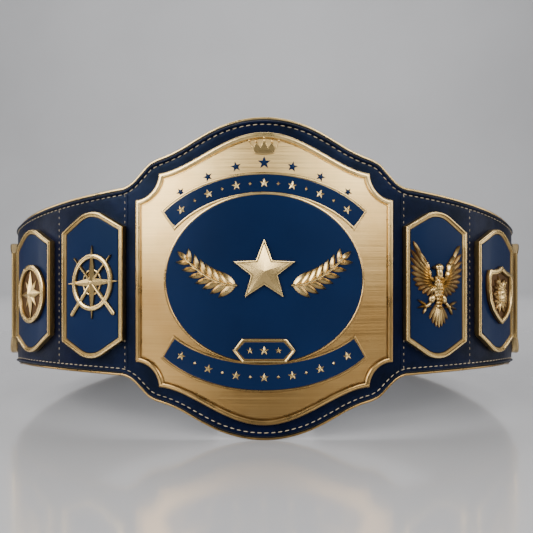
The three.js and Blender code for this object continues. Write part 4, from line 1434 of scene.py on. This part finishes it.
class BELT_OT_compass(bpy.types.Operator):
    """Eight pointed star in a thick ring, on the second plate to the left"""

    bl_idname = "belt.compass"
    bl_label = "Compass emblem"

    def execute(self, context):
        low = EMBLEM_LEVEL
        half_width, half_height = 21.6 * MM, 26.1 * MM
        plate = flat_face("dish", ellipse(half_width, half_height), low)
        parts = [pull_up(plate, 3.2 * MM, rim_steps(COMPASS_STEPS, MM, MM))]
        long_star, short_star = [], []
        for number in range(8):
            turn = math.pi * number / 4 + math.pi / 2
            reach = 5.0 if number % 2 else 16.6
            stretch = 1.27
            long_star.append((reach * math.cos(turn) * MM, reach * math.sin(turn) * MM * stretch))
            reach = 4.4 if number % 2 else 13.4
            turn += math.pi / 4
            short_star.append((reach * math.cos(turn) * MM, reach * math.sin(turn) * MM * stretch))
        floor = low + 1.2 * MM
        parts.append(faceted_star("short_star", short_star, floor, 0.5 * MM, 2.0 * MM))
        parts.append(faceted_star("long_star", long_star, floor, 0.8 * MM, 2.9 * MM))
        deselect()
        bpy.ops.mesh.primitive_uv_sphere_add(segments=12, ring_count=8, radius=0.9 * MM)
        studs = []
        for number in range(8):
            turn = math.pi * number / 4 + math.pi / 8
            studs.append(spot(19.4 * MM * math.cos(turn), 23.9 * MM * math.sin(turn), low + 3.75 * MM))
        parts.append(many(bpy.context.object, studs, "studs"))
        for part in parts:
            shift_all(part, *COMPASS_PLACE)
        piece = joined(parts, "compass_relief")
        cut_strips(piece, STRIP)
        finish_relief([piece], "compass_relief", "compass_emblem", low + 0.9 * MM, low + 3 * MM, 30)
        return {"FINISHED"}


# Feathers of one wing in mm round the eagle's middle: foot and tip of each
WING_FEATHERS = (
    ((10, 9), (24.4, 33.5)), ((10.3, 8), (26.4, 26.6)), ((10.2, 6.6), (27, 20.2)), ((10, 5), (27, 13.8)),
    ((9.6, 3.4), (26.2, 8)), ((9.2, 1.8), (25, 2.6)), ((8.4, 0.4), (22.8, -2)), ((7.4, -0.8), (19.6, -5.8)),
    ((6.2, -1.6), (15.4, -8.8)), ((4.8, -2), (10.6, -10.6)), ((3.6, -2.4), (6.8, -10.2)),
)
# Layers of a wing, each as share of the length, width and rise, and its leading edge in mm
WING_LAYERS = ((1, 4.1, 1.7), (0.6, 3.5, 2.5), (0.36, 3.2, 3.2))
WING_EDGE = ((4.6, 1.4), (8.6, 5.2), (9.6, 10), (11.4, 16), (16.6, 22.4), (24.2, 33.2))
# Talons of the foot on the right: foot, tip and width in mm
TALONS = (
    ((11.6, -18.6), (20.8, -20.4), 2.4), ((11.8, -19.2), (15.6, -25.4), 2.3),
    ((11, -19), (6, -19.9), 2.0), ((12, -18.4), (20.4, -13.6), 2.6),
)


class BELT_OT_eagle(bpy.types.Operator):
    """Eagle with raised wings, layered feathers, spread feet and a fanned tail"""

    bl_idname = "belt.eagle"
    bl_label = "Eagle emblem"

    def execute(self, context):
        low = EMBLEM_LEVEL
        feathers, curved = [], []
        for side in (-1, 1):
            for layer, (reach, width, rise) in enumerate(WING_LAYERS):
                for foot, tip in WING_FEATHERS:
                    foot, tip = Vector(foot), Vector(tip)
                    tip = foot + (tip - foot) * reach
                    start = Vector((foot.x * side, foot.y)) * (1 - 0.12 * layer)
                    end = Vector((tip.x * side, tip.y))
                    feathers.append(aimed(start, end, low, width, rise, -side))
            for number, (start, end) in enumerate(zip(WING_EDGE, WING_EDGE[1:])):
                end = Vector(end) + (Vector(end) - Vector(start)) * 0.35 * (number < 4)
                start = (start[0] * side, start[1])
                feathers.append(aimed(start, (end.x * side, end.y), low, 3.6, 3.9 - 0.25 * number, -side))
            for start, end, width in TALONS:
                start, end = (start[0] * side, start[1]), (end[0] * side, end[1])
                curved.append(aimed(start, end, low, width, 2.7, -side))
        for number in range(-3, 4):
            tip = (1.0 + number * 3.15, -36.6 + 1.05 * abs(number) ** 1.75)
            feathers.append(aimed((0.8 + number * 0.7, -17), tip, low, 3.8, 2.6 - 0.25 * abs(number)))
        parts = [many(leaf("feather", 1, 1, 1, 9, 0.04, True), feathers, "feathers")]
        parts.append(many(leaf("talon", 1, 1, 1, 8, 0.22), curved, "talons"))
        breast = []
        for row in range(9):
            y = 6 - row * 2.9
            half = 3.4 + 1.9 * math.sin(math.pi * min(1, (row + 1.2) / 8)) - 0.18 * row
            count = 4 + row % 2
            for number in range(count):
                share = (number + 0.5) / count * 2 - 1
                x = 0.6 + share * half
                rise = 4.9 - 2.0 * share ** 2 - 0.05 * row
                breast.append(aimed((x, y), (x * 1.05, y - 4.0), low, 2.6, rise))
        parts.append(many(leaf("scale", 1, 1, 1, 6, 0), breast, "breast"))
        parts.append(ball("body", 0.6 * MM, -4 * MM, low, (5 * MM, 12 * MM, 3.7 * MM)))
        parts.append(ball("neck", 1.6 * MM, 8.6 * MM, low, (3.1 * MM, 6.2 * MM, 3.6 * MM), 0.1))
        parts.append(ball("head", 1.2 * MM, 13.4 * MM, low + 0.6 * MM, (4.1 * MM, 3.3 * MM, 3.4 * MM), 0.05))
        parts.append(ball("eye", -1.1 * MM, 13.9 * MM, low + 3.3 * MM, (0.7 * MM, 0.55 * MM, 0.6 * MM)))
        beak = [aimed((-1.6, 13.4), (-6.0, 12.2), low, 3.1, 3.6)]
        parts.append(many(leaf("beak", 1, 1, 1, 8, -0.16), beak, "beak"))
        for side in (-1, 1):
            radii = (3.1 * MM, 4.4 * MM, 3.0 * MM)
            parts.append(ball("thigh", side * 6 * MM, -12.8 * MM, low, radii, side * 0.5))
            knee, heel = (side * 8 * MM, -16 * MM), (side * 11.6 * MM, -19.4 * MM)
            parts.append(rod("shin", knee, heel, low, 2.4 * MM, 2.6 * MM))
            parts.append(ball("foot", side * 11.6 * MM, -19 * MM, low, (1.9 * MM, 1.6 * MM, 2.6 * MM)))
        for part in parts:
            part.data.transform(Matrix.Diagonal((EAGLE_STRETCH, 1, 1, 1)))
            shift_all(part, *EAGLE_PLACE)
        finish_relief(parts, "eagle_relief", "eagle_emblem", low - 0.4 * MM, low + 3.6 * MM, 50)
        return {"FINISHED"}


# The right half of the shield's edge as shares of its half width and half height
SHIELD_EDGE = (
    (0, 1), (0.16, 0.92), (0.42, 0.85), (0.72, 0.82), (0.9, 0.80), (1, 0.56),
    (1.0, 0.12), (0.9, -0.26), (0.7, -0.56), (0.4, -0.80), (0, -1),
)
SHIELD = (21.5 * MM, 26 * MM)
# Rings of the mane: where a lock starts and ends, its width and its rise in mm
MANE_RINGS = ((6.4, 13.6, 4.4, 1.7), (5.0, 11.0, 4.0, 2.5), (4.2, 8.6, 3.4, 3.1))
FACE_HALF_WIDTH = 6.9
FACE_HALF_HEIGHT = 10.4


def shield_outline():
    """A shield with a raised middle and ears above and a point below."""
    right = [(x * SHIELD[0], y * SHIELD[1]) for x, y in SHIELD_EDGE]
    left = [(-x, y) for x, y in right[1:-1]]
    return (right + left[::-1])[::-1]


def lion_height(x, y):
    """Height in mm of the lion's face over the shield at a place in mm from its middle."""
    side = abs(x)

    def bump(height, middle_x, middle_y, wide, high, across=side):
        return height * math.exp(-(((across - middle_x) / wide) ** 2) - ((y - middle_y) / high) ** 2)

    rise = 2.0 - 0.020 * x ** 2 - 0.006 * y ** 2
    rise += bump(1.3, 0, 1.4, 1.5, 4.6)
    rise += bump(1.25, 0, -3.2, 2.1, 1.3)
    rise += bump(1.1, 2.1, -5.2, 1.9, 1.9)
    rise += bump(0.95, 0, -9.0, 2.0, 1.3)
    rise += bump(1.0, 2.7, 4.4, 2.1, 0.85)
    rise += bump(0.7, 5.2, -0.8, 1.5, 2.4)
    rise -= bump(1.25, 3.0, 2.5, 1.35, 0.8)
    rise += bump(0.75, 2.9, 2.5, 0.6, 0.45)
    rise -= bump(0.95, 0, -7.3 + 0.12 * side, 3.2, 0.5)
    rise -= bump(0.6, 0, -5.6, 0.35, 1.3)
    rise -= bump(0.4, 0, 7.5, 0.7, 1.6)
    return max(rise, 0.4)


class BELT_OT_shield(bpy.types.Operator):
    """Shield with a thick rim and a lion's head in relief"""

    bl_idname = "belt.shield"
    bl_label = "Shield emblem"

    def execute(self, context):
        low = EMBLEM_LEVEL
        shield = flat_face("shield", shield_outline(), low)
        pull_up(shield, 3.6 * MM, rim_steps(SHIELD_STEPS, MM, MM))
        shift_all(shield, *SHIELD_PLACE)
        cut_strips(shield, STRIP)
        finish_relief([shield], "shield_relief", "shield_emblem", low + 0.9 * MM, low + 3.4 * MM, 30)

        floor = low + 1.3 * MM
        locks = []
        count = sizes().mane
        for ring, (inner, outer, width, rise) in enumerate(MANE_RINGS):
            for number in range(count):
                turn = 2 * math.pi * (number + 0.5 * (ring % 2)) / count
                swirl = turn - math.copysign(0.28, math.cos(turn)) * (1 if math.sin(turn) > -0.2 else -0.6)
                start = (inner * math.cos(turn), inner * 1.3 * math.sin(turn) - 0.3)
                end = (outer * math.cos(swirl), outer * 1.34 * math.sin(swirl) - 0.6)
                flip = 1 if math.cos(turn) > 0 else -1
                locks.append(aimed(start, end, floor, width, rise, flip))
        mane = many(leaf("lock", 1, 1, 1, 8, 0.12), locks, "mane")
        deselect()
        bpy.ops.mesh.primitive_grid_add(x_subdivisions=44, y_subdivisions=60, size=2)
        face = bpy.context.object
        face.name = "face"
        for vertex in face.data.vertices:
            u, v = vertex.co.x, vertex.co.y
            x = FACE_HALF_WIDTH * u * math.sqrt(1 - v * v / 2)
            y = FACE_HALF_HEIGHT * v * math.sqrt(1 - u * u / 2)
            x *= 1 - 0.16 * max(0, -y / FACE_HALF_HEIGHT)
            vertex.co = (x * MM, y * MM, lion_height(x, y) * MM)
        walled(face)
        face.data.transform(Matrix.Translation((0, 0.2 * MM, floor + 0.6 * MM)))
        ears = [aimed((side * 4.3, 8.2), (side * 7.6, 12.4), floor, 3.6, 3.4) for side in (-1, 1)]
        parts = [face, mane, many(leaf("ear", 1, 1, 1, 6, 0), ears, "ears")]
        for part in parts:
            shift_all(part, *LION_PLACE)
        finish_relief(parts, "lion_relief", "lion_head", floor, floor + 3.4 * MM, 60)
        return {"FINISHED"}


# Steps of a snap's cap in mm inwards and upwards
STUD_STEPS = ((0.5, 0.5), (0.8, 0.35), (1.3, 0.15))
SOCKET_STEPS = ((0.5, 0.4), (0.7, 0.1), (0.6, -0.2), (0.2, -2))


class BELT_OT_snaps(bpy.types.Operator):
    """Strips of snap studs and snap sockets near the two tails"""

    bl_idname = "belt.snaps"
    bl_label = "Snaps"

    def execute(self, context):
        half_width, half_height = 7 * MM, 46 * MM
        for side, node in ((-1, "snap_studs"), (1, "snap_sockets")):
            middle = side * (HALF_LENGTH - 34 * MM)
            corners = ((-1, -1), (1, -1), (1, 1), (-1, 1))
            outline = [(middle + x * half_width, y * half_height) for x, y in corners]
            strip = flat_face("strip", outline, GAP)
            parts = [pull_up(strip, 0.8 * MM, ((0.2 * MM, 0.25 * MM), (0.35 * MM, 0.15 * MM)))]
            for row in (-1, 0, 1):
                disc = moved(ellipse(5 * MM, 5 * MM, 40), middle, row * 36 * MM)
                cap = flat_face("cap", disc, GAP + 1 * MM)
                steps = STUD_STEPS if side < 0 else SOCKET_STEPS
                parts.append(pull_up(cap, 2.2 * MM, rim_steps(steps, MM, MM)))
            row_name = node.replace("snap_", "snap_row_of_")
            finish_relief(parts, row_name, node, GAP - 1 * MM, GAP + 2 * MM, 30)
        return {"FINISHED"}


def studio_floor():
    """Pale grey floor finish with a soft sheen and the faintest mottling."""
    material, nodes, links, shader = new_finish("studio_floor")
    cloud = placed_noise(nodes, links, (1, 1, 1), 1.4, 3, 0.5)
    floor = colours().floor
    base = ramp(nodes, links, cloud, ((0.3, shade(floor, 0.96)), (0.7, shade(floor, 1.04))))
    links.new(base, shader.inputs["Base Color"])
    place = nodes.new("ShaderNodeTexCoord")
    parts = nodes.new("ShaderNodeSeparateXYZ")
    links.new(place.outputs["Object"], parts.inputs["Vector"])
    far = spread(nodes, links, parts.outputs["Y"], 0, 1, 0.5, 1.2)
    polish = nodes.new("ShaderNodeMath")
    polish.operation = "MULTIPLY_ADD"
    links.new(far, polish.inputs[0])
    polish.inputs[1].default_value = 0.7
    links.new(spread(nodes, links, cloud, 0.15, 0.20, 0.3, 0.7), polish.inputs[2])
    links.new(polish.outputs[0], shader.inputs["Roughness"])
    links.new(spread(nodes, links, far, 0.95, 0.05), shader.inputs["Specular IOR Level"])
    links.new(spread(nodes, links, far, 0.7, 0), shader.inputs["Coat Weight"])
    shader.inputs["Coat Roughness"].default_value = 0.1
    return material


def soft_light(name, place, target, size, power, colour=(1, 1, 1)):
    """A soft rectangular light aimed at a place."""
    deselect()
    bpy.ops.object.light_add(type="AREA", location=place)
    light = bpy.context.object
    light.name = name
    light.data.shape = "RECTANGLE"
    light.data.size, light.data.size_y = size
    light.data.energy = power
    light.data.color = colour
    light.rotation_euler = (Vector(target) - Vector(place)).to_track_quat("-Z", "Y").to_euler()
    return light


CAMERA_PLACE = (0.0018, -0.6441, 0.1384)
CAMERA_TURN = 0.0
LENS = 38.5


class BELT_OT_stage(bpy.types.Operator):
    """Pale floor that sweeps up into a backdrop, soft lights and the camera"""

    bl_idname = "belt.stage"
    bl_label = "Studio"

    def execute(self, context):
        radius, back, high, half, near = 1.2, 2.2, 5.0, 6.0, -4.0
        profile = [(near, 0), (back, 0)]
        for step in range(1, 17):
            turn = math.pi / 2 * step / 16
            profile.append((back + radius * math.sin(turn), radius - radius * math.cos(turn)))
        profile.append((back + radius, high))
        deselect()
        bpy.ops.mesh.primitive_grid_add(x_subdivisions=1, y_subdivisions=len(profile) - 1, size=1)
        sweep = bpy.context.object
        sweep.name = "studio_sweep"
        rows = sorted({round(vertex.co.y, 5) for vertex in sweep.data.vertices})
        for vertex in sweep.data.vertices:
            y, z = profile[rows.index(round(vertex.co.y, 5))]
            vertex.co = (math.copysign(half, vertex.co.x), y, z)
        smooth(sweep, 40, False)
        sweep.data.materials.append(studio_floor())

        middle = (0, -0.18, 0.14)
        soft_light("key", (-1.7, -1.9, 1.25), middle, (1.9, 1.7), 125, (1, 0.985, 0.96))
        soft_light("front", (1.5, -2.3, 1.4), middle, (1.5, 1.3), 75, (1, 0.98, 0.95))
        soft_light("fill", (2.0, -0.9, 0.8), middle, (0.9, 1.2), 12, (1, 0.98, 0.95))
        soft_light("top", (0, 0.8, 2.8), (0, 0.6, 0), (3.2, 2.0), 32)
        soft_light("backdrop", (0, 0.9, 2.9), (0, 3.4, 0.5), (4.5, 0.8), 92)
        soft_light("left_strip", (-1.3, -0.1, 0.5), (-0.25, -0.05, 0.13), (0.25, 1.0), 5, (1, 0.96, 0.9))
        soft_light("right_strip", (1.3, -0.1, 0.5), (0.25, -0.05, 0.13), (0.25, 1.0), 4, (1, 0.96, 0.9))

        world = bpy.data.worlds.new("studio_air")
        world.use_nodes = True
        world.node_tree.nodes["Background"].inputs["Color"].default_value = (0.75, 0.77, 0.8, 1)
        world.node_tree.nodes["Background"].inputs["Strength"].default_value = 0.18
        context.scene.world = world

        deselect()
        bpy.ops.object.camera_add(location=CAMERA_PLACE, rotation=(math.pi / 2, 0, CAMERA_TURN))
        camera = bpy.context.object
        camera.name = "photo_camera"
        camera.data.sensor_width = 36
        camera.data.lens = LENS
        camera.data.clip_start = 0.01
        context.scene.camera = camera
        return {"FINISHED"}


PIECES = (
    BELT_OT_leather, BELT_OT_lining, BELT_OT_piping, BELT_OT_stitches, BELT_OT_main_plate, BELT_OT_crown,
    BELT_OT_main_enamel, BELT_OT_cartouche, BELT_OT_centre, BELT_OT_small_stars, BELT_OT_side_plates,
    BELT_OT_wheel, BELT_OT_compass, BELT_OT_eagle, BELT_OT_shield, BELT_OT_snaps, BELT_OT_stage,
)


class BELT_PT_panel(bpy.types.Panel):
    """Sizes, colours and pieces of the belt"""

    bl_idname = "BELT_PT_panel"
    bl_label = "Title belt"
    bl_space_type = "VIEW_3D"
    bl_region_type = "UI"
    bl_category = "Belt"

    def draw(self, context):
        for group in (context.scene.belt_sizes, context.scene.belt_colours):
            box = self.layout.box()
            for name in group.__annotations__:
                box.prop(group, name)
        for piece in PIECES:
            self.layout.operator(piece.bl_idname)


CLASSES = (BeltSizes, BeltColours, *PIECES, BELT_PT_panel)


def register():
    """Registers the classes and hangs the sizes and colours on the scene."""
    for kind in CLASSES:
        bpy.utils.register_class(kind)
    bpy.types.Scene.belt_sizes = PointerProperty(type=BeltSizes)
    bpy.types.Scene.belt_colours = PointerProperty(type=BeltColours)


def unregister():
    """Takes everything off again."""
    del bpy.types.Scene.belt_colours
    del bpy.types.Scene.belt_sizes
    for kind in reversed(CLASSES):
        bpy.utils.unregister_class(kind)


def main():
    """Registers the classes and builds every piece in order."""
    register()
    for piece in PIECES:
        group, name = piece.bl_idname.split(".")
        getattr(getattr(bpy.ops, group), name)()


if __name__ == "__main__":
    main()
